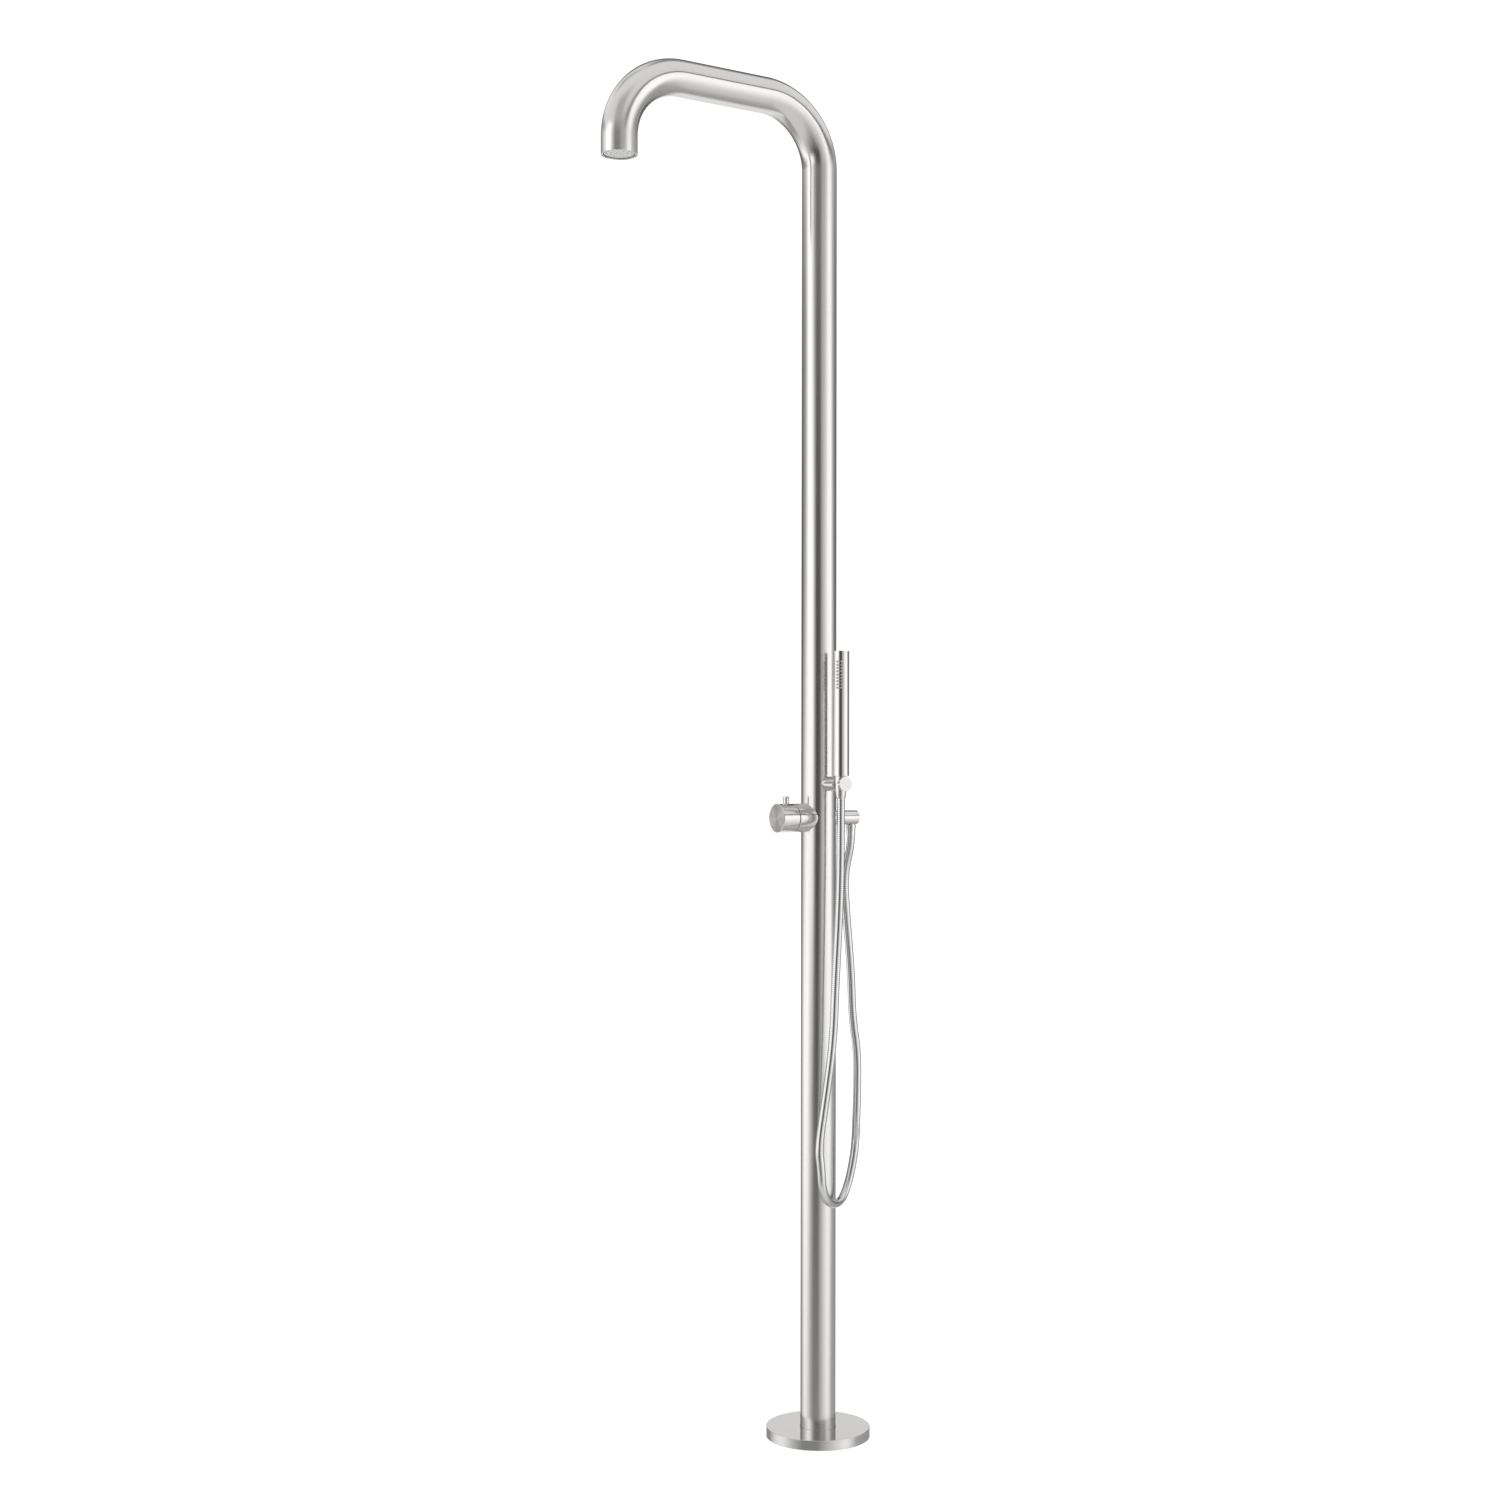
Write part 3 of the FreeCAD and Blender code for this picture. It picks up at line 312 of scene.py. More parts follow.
def tone(colour: Colour, factor: float) -> tuple[float, float, float, float]:
    """A colour made lighter or darker by a factor, with alpha."""
    return (colour[0] * factor, colour[1] * factor, colour[2] * factor, 1.0)


@dataclass(frozen=True)
class Finish:
    """A surface whose colour, roughness and height vary a little with its marks."""

    name: str
    colour: Colour
    roughness: float
    spread: float
    mottle: float
    relief: float

    def worn(self, sheet: Sheet, marks: Socket) -> Material:
        """Lets marks vary the surface.

        Args:
            sheet: Node tree of the material.
            marks: Socket of the marks, from 0 to 1.

        Returns:
            The finished material.
        """
        dark, light = tone(self.colour, 1 - self.mottle), tone(self.colour, 1 + self.mottle)
        roughness = (self.roughness - self.spread, self.roughness + self.spread)
        bump = sheet.add("ShaderNodeBump", {"Height": marks, "Strength": 0.5, "Distance": self.relief})
        sheet.feed(sheet.shader, {
            "Base Color": sheet.mixed(marks, dark, light),
            "Roughness": sheet.ranged(marks, NOISE_SPAN, roughness),
            "Normal": bump.outputs["Normal"]})
        return sheet.material


@dataclass(frozen=True)
class Steel(Finish):
    """Stainless steel, or brass by its colour, with the fine lines that its working left."""

    colour: Colour = (0.64, 0.632, 0.62)
    roughness: float = 0.3
    spread: float = 0.04
    mottle: float = 0.05
    relief: float = 0.004 * MM
    grain: Grain = Grain.ROUND
    lines_per_metre: float = 1400.0
    line_length: float = 0.06
    anisotropy: float = 0.0

    def material(self, spindle: Spindle | None = None) -> Material:
        """Builds the material.

        Args:
            spindle: Axis of a turned piece.

        Returns:
            The material.
        """
        sheet = Sheet(self.name, {"Metallic": 1.0, "Anisotropic": self.anisotropy})
        if self.grain is Grain.ROUND and spindle is not None:
            lines = self._turned_lines(sheet, spindle)
        elif self.grain is Grain.ALONG:
            lines = self._drawn_lines(sheet)
        else:
            lines = sheet.noise(sheet.place(), self.lines_per_metre, detail=3.0)
        return self.worn(sheet, lines)

    def _drawn_lines(self, sheet: Sheet) -> Socket:
        """Lines along a tube, from the piece's own grain attribute.

        Args:
            sheet: Node tree of the material.

        Returns:
            The socket of the lines' value.
        """
        own = sheet.add("ShaderNodeAttribute", attribute_name="grain").outputs["Vector"]
        stretch = (self.lines_per_metre, self.lines_per_metre, 1 / self.line_length)
        return sheet.noise(sheet.vector("MULTIPLY", own, stretch), scale=1.0, detail=4.0)

    def _turned_lines(self, sheet: Sheet, spindle: Spindle) -> Socket:
        """Lines round the axis of a turned piece, on its sides and on its end faces alike.

        Args:
            sheet: Node tree of the material.
            spindle: The axis that the piece was turned on.

        Returns:
            The socket of the lines' value.
        """
        axis = tuple(spindle.direction)
        arm = sheet.vector("SUBTRACT", sheet.place(), tuple(spindle.centre))
        beside = sheet.vector("CROSS_PRODUCT", axis, arm)
        joined = sheet.add("ShaderNodeCombineXYZ", {
            "X": sheet.vector("DOT_PRODUCT", arm, axis), "Y": sheet.vector("LENGTH", beside)})
        fine = sheet.vector("MULTIPLY", joined.outputs["Vector"], (self.lines_per_metre,) * 3)
        drift = sheet.vector("MULTIPLY", arm, (1 / self.line_length,) * 3)
        turned_way = sheet.add("ShaderNodeVectorTransform", {"Vector": beside},
                               vector_type="VECTOR", convert_from="OBJECT", convert_to="WORLD")
        sheet.feed(sheet.shader, {
            "Tangent": sheet.vector("NORMALIZE", turned_way.outputs["Vector"]),
            "Anisotropic Rotation": 0.25})
        return sheet.noise(sheet.vector("ADD", fine, drift), scale=1.0, detail=3.0)


@dataclass(frozen=True)
class HoseSteel:
    """Polished metal winding of the hose, with painted shade: its grooves between the ribs are
    coloured dark.
    """

    name: str = "hose_winding"
    crest: Colour = (0.68, 0.68, 0.68)
    groove: Colour = (0.16, 0.16, 0.16)
    roughness: Span = (0.03, 0.08)
    specks_per_metre: float = 300.0

    def material(self) -> Material:
        """Builds the material from the hose's own rib attribute, which paints shade into the grooves.

        Returns:
            The material.
        """
        sheet = Sheet(self.name, {"Metallic": 1.0})
        rib = sheet.add("ShaderNodeAttribute", attribute_name="rib").outputs["Fac"]
        wear = sheet.noise(sheet.place(), self.specks_per_metre, detail=2.0)
        sheet.feed(sheet.shader, {
            # Painted shade: the dark groove colour goes in the grooves and the light crest colour on
            # the ribs.
            "Base Color": sheet.mixed(rib, tone(self.groove, 1), tone(self.crest, 1)),
            "Roughness": sheet.ranged(wear, NOISE_SPAN, self.roughness)})
        return sheet.material


@dataclass(frozen=True)
class Soft(Finish):
    """Rubber, silicone, plastic or ceramic with a faint mottle."""

    spread: float = 0.05
    mottle: float = 0.06
    relief: float = 0.01 * MM
    specks_per_metre: float = 900.0

    def material(self) -> Material:
        """Builds the material.

        Returns:
            The material.
        """
        sheet = Sheet(self.name, {})
        return self.worn(sheet, sheet.noise(sheet.place(), self.specks_per_metre, detail=3.0))


TUBE_STEEL = Steel("brushed_tube", roughness=0.17, spread=0.03, grain=Grain.ALONG)
HANDSET_STEEL = Steel("polished_handset", roughness=0.09, spread=0.02, grain=Grain.ALONG)
BAR_STEEL = Steel("polished_bar", (0.67, 0.662, 0.65), 0.08, 0.02, relief=0.002 * MM)
TURNED_STEEL = Steel("turned_steel", roughness=0.15, spread=0.03, anisotropy=0.4)
FACE_STEEL = Steel("turned_face", (0.60, 0.592, 0.58), 0.48, anisotropy=1.0)
END_STEEL = Steel("turned_end", (0.68, 0.672, 0.66), anisotropy=0.9)
COVER_STEEL = Steel("turned_cover", (0.61, 0.603, 0.592), 0.1, 0.02, anisotropy=0.3)
PLAIN_STEEL = Steel("plain_steel", grain=Grain.NONE)
SILICONE = Soft("grey_silicone", (0.52, 0.52, 0.52), 0.45)
SEAL_RUBBER = Soft("seal_rubber", (0.03, 0.03, 0.03), 0.6)
HIDDEN_FINISHES = {
    Slot.BRUSHED: PLAIN_STEEL,
    Slot.TURNED: PLAIN_STEEL,
    Slot.PLAIN: PLAIN_STEEL,
    Slot.HOSE: HoseSteel(),
    Slot.BRASS: Steel("machined_brass", (0.66, 0.50, 0.22), 0.28, grain=Grain.NONE),
    Slot.SILICONE: SILICONE,
    Slot.SEAL: SEAL_RUBBER,
    Slot.RUBBER: Soft("inner_hose_rubber", (0.05, 0.05, 0.055), 0.55),
    Slot.PLASTIC: Soft("white_acetal", (0.78, 0.78, 0.76), 0.4),
    Slot.CERAMIC: Soft("polished_ceramic", (0.85, 0.85, 0.83), 0.12),
}


# ---------------------------------------------------------------- shaping

class Blank:
    """A mesh in the making, shaped with mesh operators and then made into a piece."""

    def __init__(self) -> None:
        """Starts an empty mesh."""
        self.mesh = bmesh.new()

    @classmethod
    def turned(cls, corners: Sequence[Corner], segments: int = 96) -> Blank:
        """Turns an outline about local Z.

        Args:
            corners: The outline as (radius, height). It starts and ends on the axis, or else its
                last corner joins the first.
            segments: Steps round the axis.

        Returns:
            The turned shape.
        """
        blank = cls()
        verts = [blank.mesh.verts.new((radius, 0, height)) for radius, height in corners]
        solid = corners[0][0] == 0
        ends = verts[1:] if solid else [*verts[1:], verts[0]]
        edges = [blank.mesh.edges.new(pair) for pair in zip(verts, ends)]
        bmesh.ops.spin(blank.mesh, geom=verts + edges, cent=(0, 0, 0), axis=UP, angle=math.tau,
                       steps=segments, use_merge=True, use_duplicate=False)
        return blank

    @classmethod
    def ring(cls, inner: float, outer: float, low: float, high: float, segments: int = 96) -> Blank:
        """A ring of rectangular section about local Z, or a disc where the inner radius is 0.

        Args:
            inner: Inner radius.
            outer: Outer radius.
            low: Height of its lower face.
            high: Height of its upper face.
            segments: Steps round the axis.

        Returns:
            The ring.
        """
        return cls.turned([(inner, low), (outer, low), (outer, high), (inner, high)], segments)

    @classmethod
    def saddled(cls, radius: float, corners: Sequence[Corner], lip: float,
                segments: int = 96) -> Blank:
        """A round bar whose foot follows the post's surface, then runs through turned corners.

        Args:
            radius: Radius of the bar at its foot.
            corners: Outline from the foot outward, as (radius, height from the post's axis).
            lip: Width of the chamfer round the foot.
            segments: Steps round the bar.

        Returns:
            The bar along local Z on a post along local Y, open at its foot.
        """
        post = Extent.of("riser_tube").high.x
        blank = cls()
        foot = [(radius - lip, 0.0), (radius, lip), (radius, 2 * lip)]
        verts = bmesh.ops.create_circle(blank.mesh, segments=segments, radius=radius)["verts"]
        edges = blank.mesh.edges[:]
        for index, (ring_radius, height) in enumerate([*foot, *corners]):
            if index > 0:
                verts, edges = blank.next_ring(edges)
            for vert in verts:
                across = Vector((vert.co.x, vert.co.y)).normalized() * ring_radius
                surface = math.sqrt(post ** 2 - across.x ** 2) if index < len(foot) else 0.0
                vert.co = (*across, surface + height)
        return blank

    def next_ring(self, edges: Sequence[bmesh.types.BMEdge]) -> tuple[list, list]:
        """Extrudes a ring of edges.

        Args:
            edges: Edges of the ring.

        Returns:
            The new ring's vertices and edges.
        """
        grown = bmesh.ops.extrude_edge_only(self.mesh, edges=edges)["geom"]
        verts = [item for item in grown if isinstance(item, bmesh.types.BMVert)]
        return verts, [item for item in grown if isinstance(item, bmesh.types.BMEdge)]

    def run(self, edges: list, way: Vector, steps: int) -> list:
        """Extrudes a ring of edges straight on.

        Args:
            edges: Edges of the ring.
            way: The whole way of the run.
            steps: Number of steps.

        Returns:
            Edges of the last ring.
        """
        for _ in range(steps):
            verts, edges = self.next_ring(edges)
            bmesh.ops.translate(self.mesh, verts=verts, vec=way / steps)
        return edges

    def bend(self, edges: list, centre: Vector, steps: int) -> list:
        """Spins a ring of edges a quarter turn about an axis along X.

        Args:
            edges: Edges of the ring.
            centre: Centre of the bend, on that axis.
            steps: Number of steps.

        Returns:
            Edges of the last ring.
        """
        verts = list({vert for edge in edges for vert in edge.verts})
        spun = bmesh.ops.spin(self.mesh, geom=verts + edges, cent=centre, axis=(1, 0, 0),
                              angle=math.pi / 2, steps=steps, use_duplicate=False)
        return [item for item in spun["geom_last"] if isinstance(item, bmesh.types.BMEdge)]

    def stamp(self, other: Blank, places: Iterable[Matrix]) -> Blank:
        """Adds copies of another blank.

        Args:
            other: The shape to copy.
            places: A matrix for each copy.

        Returns:
            This blank.
        """
        for place in places:
            copy = other.mesh.copy()
            copy.transform(place)
            scratch = bpy.data.meshes.new("stamp")
            copy.to_mesh(scratch)
            copy.free()
            self.mesh.from_mesh(scratch)
            bpy.data.meshes.remove(scratch)
        return self

    def moved(self, place: Matrix) -> Blank:
        """Moves the whole shape."""
        self.mesh.transform(place)
        return self

    def shifted(self, x: float, y: float, z: float = 0.0) -> Blank:
        """Moves the whole shape along the axes."""
        return self.moved(Matrix.Translation((x, y, z)))

    def merged(self) -> Blank:
        """Merges what spinning left double."""
        bmesh.ops.remove_doubles(self.mesh, verts=self.mesh.verts, dist=MERGE)
        return self

    def filled(self) -> Blank:
        """Closes every open rim with one face.

        Returns:
            This blank.
        """
        rims = [edge for edge in self.merged().mesh.edges if edge.is_boundary]
        bmesh.ops.holes_fill(self.mesh, edges=rims, sides=0)
        return self

    def bridged(self) -> Blank:
        """Joins the two open rims of a ring.

        Returns:
            This blank.
        """
        rims = [edge for edge in self.mesh.edges if edge.is_boundary]
        bmesh.ops.bridge_loops(self.mesh, edges=rims)
        return self

    def piece(self, name: str) -> Piece:
        """Makes the shape an object with smooth shading and every face turned outward.

        Args:
            name: Name of the piece.

        Returns:
            The new object, at the origin.
        """
        bmesh.ops.recalc_face_normals(self.merged().mesh, faces=self.mesh.faces)
        data = bpy.data.meshes.new(name)
        self.mesh.to_mesh(data)
        self.mesh.free()
        data.shade_smooth()
        obj = bpy.data.objects.new(name, data)
        bpy.context.scene.collection.objects.link(obj)
        return obj


def eased(piece: Piece, width: float) -> Piece:
    """Rounds the sharp edges of a piece.

    Args:
        piece: The piece.
        width: Width of the rounding.

    Returns:
        The piece.
    """
    bevel = piece.modifiers.new("eased_edges", "BEVEL")
    bevel.width = width
    bevel.segments = 3
    bevel.limit_method = "ANGLE"
    bevel.angle_limit = EDGE_ANGLE
    bevel.harden_normals = True
    return piece


def evaluated(obj: Piece) -> bpy.types.Mesh:
    """A new mesh of an object's shape with its modifiers applied."""
    bpy.context.view_layer.update()
    graph = bpy.context.evaluated_depsgraph_get()
    return bpy.data.meshes.new_from_object(obj.evaluated_get(graph))


def drilled(piece: Piece, tool: Blank) -> None:
    """Takes a tool's shape out of a piece for good.

    Args:
        piece: The piece.
        tool: The shape to take away.
    """
    cutter = tool.piece("cutter")
    boolean = piece.modifiers.new("drilled", "BOOLEAN")
    boolean.operation = "DIFFERENCE"
    boolean.solver = "EXACT"
    boolean.object = cutter
    result = evaluated(piece)
    result.name = piece.name
    piece.modifiers.clear()
    piece.data = result
    spent = cutter.data
    bpy.data.objects.remove(cutter)
    bpy.data.meshes.remove(spent)


def dressed(piece: Piece, material: Material) -> None:
    """Gives a piece its material.

    Args:
        piece: The piece.
        material: Its finish.
    """
    piece.data.materials.clear()
    piece.data.materials.append(material)


def fitted(piece: Piece, material: Material, body: Body, slot: Slot, *nodes: str) -> None:
    """Dresses a piece and rides it on its body in place of the CAD nodes that it stands for.

    Args:
        piece: The piece.
        material: Its finish.
        body: The body that it moves with.
        slot: Not used.
        *nodes: CAD nodes that it replaces.
    """
    dressed(piece, material)
    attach(piece, body.value)
    if nodes:
        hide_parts(*nodes)
    log.info("%s rides on %s for %s", piece.name, body.value, ", ".join(nodes) or "itself")


def faced(piece: Piece, spindle: Spindle, finish: Steel) -> None:
    """Gives the flat outer end of a dressed piece a second finish.

    Args:
        piece: The piece.
        spindle: Axis that the piece was turned on, which points out of that end.
        finish: Finish of the end.
    """
    piece.data.materials.append(finish.material(spindle))
    for polygon in piece.data.polygons:
        if polygon.normal.dot(spindle.direction) > FLAT:
            polygon.material_index = 1


def give_grain(piece: Piece, grain_of: Callable[[Vector], Vector]) -> None:
    """Stores where each point lies across and along the piece's grain.

    Args:
        piece: The piece.
        grain_of: Works out (across, across, along) from a point's place.
    """
    attribute = piece.data.attributes.new("grain", "FLOAT_VECTOR", "POINT")
    for index, vertex in enumerate(piece.data.vertices):
        attribute.data[index].vector = grain_of(vertex.co)


# ---------------------------------------------------------------- riser and spout

@dataclass
class Riser:
    """The bent tube that is post, arm and spout, and the spray insert in its end."""

    bend_radius: float = 0.113
    spout_drop: float = 0.144
    wall: float = 2.0 * MM
    edge: float = 0.6 * MM
    insert_edge: float = 0.4 * MM
    insert_depth: float = 10.0 * MM
    plate_gap: float = 1.2 * MM
    seal_lip: float = 0.9 * MM
    seal_edge: float = 0.25 * MM
    seal_slack: float = 0.02 * MM
    nozzle_radius: float = 1.2 * MM
    nozzle_height: float = 1.2 * MM
    nozzle_rings: int = 3
    nozzles_per_ring: int = 6
    ring_pitch: float = 7.2 * MM
    post_steps: int = 12
    arm_steps: int = 2
    bend_steps: int = 32
    segments: int = 96

    def build(self) -> None:
        """Builds the tube and the spray insert."""
        tube = Extent.of("riser_tube")
        self.radius = tube.high.x
        self.arm_height = tube.high.z - self.radius
        self.low_bend = self.arm_height - self.bend_radius
        self.reach = -tube.low.y - self.radius
        self.foot = tube.low.z
        self.spindle = Spindle(Vector((0, -self.reach, 0)), UP)
        self._tube()
        self._insert()

    def _tube(self) -> None:
        """Extrudes and spins the tube along its centre line."""
        blank = Blank()
        bmesh.ops.create_circle(blank.mesh, segments=self.segments, radius=self.radius,
                                matrix=Matrix.Translation((0, 0, self.foot)))
        centre = Vector((0, -self.bend_radius, self.low_bend))
        arm = Vector((0, 2 * self.bend_radius - self.reach, 0))
        drop = self.spout_drop - self.bend_radius
        edges = blank.run(blank.mesh.edges[:], UP * (self.low_bend - self.foot), self.post_steps)
        edges = blank.bend(edges, centre, self.bend_steps)
        edges = blank.run(edges, arm, self.arm_steps)
        edges = blank.bend(edges, centre + arm, self.bend_steps)
        blank.run(edges, -UP * drop, 1)
        piece = blank.piece("riser")
        give_grain(piece, self._grain)
        wall = piece.modifiers.new("wall", "SOLIDIFY")
        wall.thickness = self.wall
        wall.offset = -1
        eased(piece, self.edge)
        fitted(piece, TUBE_STEEL.material(), Body.POST, Slot.BRUSHED, "riser_tube")

    def _grain(self, place: Vector) -> Vector:
        """Where a point lies on the unrolled tube.

        Args:
            place: The point.

        Returns:
            Sideways, outward from the bends' inside, and along the tube.
        """
        rise = place.z - self.low_bend
        bend_length = self.bend_radius * math.pi / 2
        arm_start = -self.bend_radius
        arm_end = self.bend_radius - self.reach
        before = self.low_bend + bend_length
        if arm_end <= place.y <= arm_start:
            return Vector((place.x, place.z - self.arm_height, before + arm_start - place.y))
        behind = place.y > arm_start
        if rise <= 0 and behind:
            return place.copy()
        before += arm_start - arm_end
        if rise <= 0:
            return Vector((place.x, -self.reach - place.y, before + bend_length - rise))
        out = place.y - arm_start if behind else arm_end - place.y
        start = self.low_bend if behind else before
        turned = math.atan2(rise, out) if behind else math.atan2(out, rise)
        return Vector((place.x, math.hypot(out, rise) - self.bend_radius,
                       start + self.bend_radius * turned))

    def _insert(self) -> None:
        """Metal rim, black seal ring as painted shade, and soft nozzle plate in the spout's end."""
        insert = Extent.of("shower_insert")
        nozzle_plate = Extent.of("nozzle_plate")
        plate, top = nozzle_plate.high.x, nozzle_plate.high.z
        face = nozzle_plate.low.z + self.nozzle_height
        bore = plate + self.plate_gap
        back = top + self.insert_depth
        outer = insert.high.x
        rim = Blank.turned([(0, top), (bore, top), (bore, insert.low.z), (outer, insert.low.z),
                            (outer, back), (0, back)])
        rim = eased(rim.shifted(0, -self.reach).piece("spray_insert_rim"), self.insert_edge)
        fitted(rim, BAR_STEEL.material(self.spindle), Body.POST, Slot.PLAIN, "shower_insert")
        # The black seal ring between rim and plate is painted shade in the recess there.
        slack = self.seal_slack
        seal = Blank.ring(plate + slack, bore - slack, face - self.seal_lip, top - slack)
        seal = eased(seal.shifted(0, -self.reach).piece("spray_insert_seal_and_shade"), self.seal_edge)
        fitted(seal, SEAL_RUBBER.material(), Body.POST, Slot.SEAL)
        disc = Blank.ring(0, plate, face, top)
        disc.stamp(Nozzle(self.nozzle_radius, self.nozzle_height).blank(), self._nozzle_places(face))
        disc = disc.shifted(0, -self.reach).piece("spout_nozzles")
        disc.data.set_sharp_from_angle(angle=NOZZLE_CREASE)
        fitted(disc, SILICONE.material(), Body.POST, Slot.SILICONE, "nozzle_plate")

    def _nozzle_places(self, face: float) -> list[Matrix]:
        """Places of the spout's nozzles, in rings round the middle one.

        Args:
            face: Height of the plate's face.

        Returns:
            A matrix for each nozzle, with local Z pointing down.
        """
        down = Matrix.Rotation(math.pi, 4, "X")
        places = [Matrix.Translation((0, 0, face)) @ down]
        for ring in range(1, self.nozzle_rings + 1):
            out = Matrix.Translation((self.ring_pitch * ring, 0, face)) @ down
            count = self.nozzles_per_ring * ring
            for index in range(count):
                places.append(Matrix.Rotation(math.tau * index / count, 4, "Z") @ out)
        return places


@dataclass
class Nozzle:
    """One soft spray nozzle: a short cone with a rounded lip and a bore."""

    radius: float
    height: float
    root: float = 0.3 * MM
    segments: int = 14

    def blank(self) -> Blank:
        """Turns the nozzle, its foot at the origin and its mouth up local Z.

        Returns:
            The nozzle's shape.
        """
        lip = self.radius * 0.25
        tip = self.radius * 0.9
        bore = self.radius * 0.38
        depth = self.height * 0.3
        return Blank.turned([
            (0, -self.root), (self.radius, -self.root), (self.radius, 0), (tip, self.height - lip),
            (tip - lip * 0.5, self.height), (bore, self.height), (bore * 0.8, depth), (0, depth)],
            self.segments)


# ---------------------------------------------------------------- base

@dataclass
class Base:
    """The turned cover that hides the floor flange."""

    wall: float = 1.5 * MM
    running_gap: float = 0.3 * MM
    edge: float = 0.7 * MM
    segments: int = 160

    def build(self) -> None:
        """Turns the cover."""
        cover = Extent.of("base_cover")
        bore = Extent.of("riser_tube").high.x + self.running_gap
        outer, top = cover.half.x, cover.high.z
        inner, under = outer - self.wall, top - self.wall
        blank = Blank.turned([
            (outer, 0), (outer, top), (bore, top), (bore, under), (inner, under), (inner, 0)],
            self.segments)
        piece = eased(blank.piece("floor_cover"), self.edge)
        fitted(piece, COVER_STEEL.material(cover.spindle), Body.COVER, Slot.TURNED, "base_cover")


# ---------------------------------------------------------------- control

@dataclass
class Control:
    """Front control: the collar on the post, the turning handle and its lever pin."""

    seam_depth: float = 3.0 * MM
    seam_edge: float = 0.5 * MM
    face_edge: float = 0.8 * MM
    edge: float = 0.2 * MM
    foot_lip: float = 0.25 * MM
    lip_width: float = 1.5 * MM
    bore_share: float = 0.8
    bore_start: float = 1.0 * MM
    ring_gap: float = 0.2 * MM
    ring_width: float = 2.0 * MM
    ring_overlap: float = 1.0 * MM
    recess: float = 6.0 * MM
    screw_gap: float = 0.1 * MM
    screw_depth: float = 6.0 * MM
    screw_segments: int = 24
    pin_groove: float = 0.3 * MM
    groove_width: float = 0.4 * MM
    pin_top: float = 0.6 * MM
    pin_edge: float = 0.12 * MM
    pin_segments: int = 48

    def build(self) -> None:
        """Builds collar, glide ring, handle and pin."""
        handle = Extent.of("control_handle")
        self.height = handle.middle.z
        self.radius = handle.half.x
        self.handle_start = -handle.high.y
        self.face = -handle.low.y
        self.collar_end = -Extent.of("control_collar").low.y
        self.place = Side.FRONT.at(self.height)
        self.spindle = Side.FRONT.spindle(self.height)
        self._collar()
        self._glide_ring_and_seam_shade()
        self._handle()
        self._pin()

    def _collar(self) -> None:
        """Rear part, a ring saddled to the post, with a thin lip at the seam."""
        inner = self.radius - self.lip_width
        bore = self.radius * self.bore_share
        seam = self.collar_end - 2 * self.seam_depth
        back = Extent.of("riser_tube").high.x + self.bore_start
        blank = Blank.saddled(self.radius, [
            (self.radius, self.collar_end - self.seam_edge),
            (self.radius - self.seam_edge, self.collar_end), (inner, self.collar_end),
            (inner, seam), (bore, seam), (bore, back)], self.foot_lip)
        piece = eased(blank.moved(self.place).bridged().piece("control_collar_turned"), self.edge)
        fitted(piece, TURNED_STEEL.material(self.spindle), Body.POST, Slot.TURNED, "control_collar")

    def _glide_ring_and_seam_shade(self) -> None:
        """Black ring deep in the seam that the handle glides on, and painted shade in the seam."""
        # Its black also paints the shade that falls deep in the seam.
        outer = self.radius - self.seam_depth - self.ring_gap
        blank = Blank.ring(outer - self.ring_width, outer, self.collar_end - self.ring_overlap,
                           self.handle_start + self.ring_overlap)
        piece = eased(blank.moved(self.place).piece("control_glide_ring_and_seam_shade"), self.edge)
        fitted(piece, SEAL_RUBBER.material(), Body.POST, Slot.SEAL)

    def _handle(self) -> None:
        """Turned handle with a chamfered face and the hole of its grub screw below."""
        skirt = self.radius - self.seam_depth
        recess = self.handle_start + self.recess
        blank = Blank.turned([
            (0, recess), (skirt, recess), (skirt, self.handle_start),
            (self.radius - self.seam_edge, self.handle_start),
            (self.radius, self.handle_start + self.seam_edge),
            (self.radius, self.face - self.face_edge),
            (self.radius - self.face_edge, self.face), (0, self.face)])
        piece = blank.moved(self.place).piece("control_handle_turned")
        screw = Extent.of("handle_screw")
        hole = Blank.ring(0, screw.high.x + self.screw_gap, 0, self.radius, self.screw_segments)
        drilled(piece, hole.shifted(0, screw.middle.y, self.height - self.radius - self.screw_depth))
        eased(piece, self.edge)
        fitted(piece, TURNED_STEEL.material(self.spindle), Body.HANDLE, Slot.TURNED, "control_handle")
        faced(piece, self.spindle, FACE_STEEL)

    def _pin(self) -> None:
        """Lever pin with a rounded top and a fine groove at its foot."""
        pin = Extent.of("lever_pin")
        radius, top = pin.half.x, pin.high.z
        foot = self.height + self.radius
        groove, groove_end = radius - self.pin_groove, foot + self.groove_width
        round_off = 0.3 * self.pin_top
        blank = Blank.turned([
            (0, pin.low.z), (radius, pin.low.z), (radius, foot - self.groove_width / 2),
            (groove, foot), (groove, groove_end), (radius, groove_end + self.pin_groove),
            (radius, top - self.pin_top), (radius - round_off, top - round_off),
            (radius - self.pin_top, top), (0, top)], self.pin_segments)
        piece = eased(blank.shifted(0, pin.middle.y).piece("lever_pin_turned"), self.pin_edge)
        fitted(piece, BAR_STEEL.material(pin.spindle), Body.HANDLE, Slot.TURNED, "lever_pin")


# ---------------------------------------------------------------- holder and hand shower

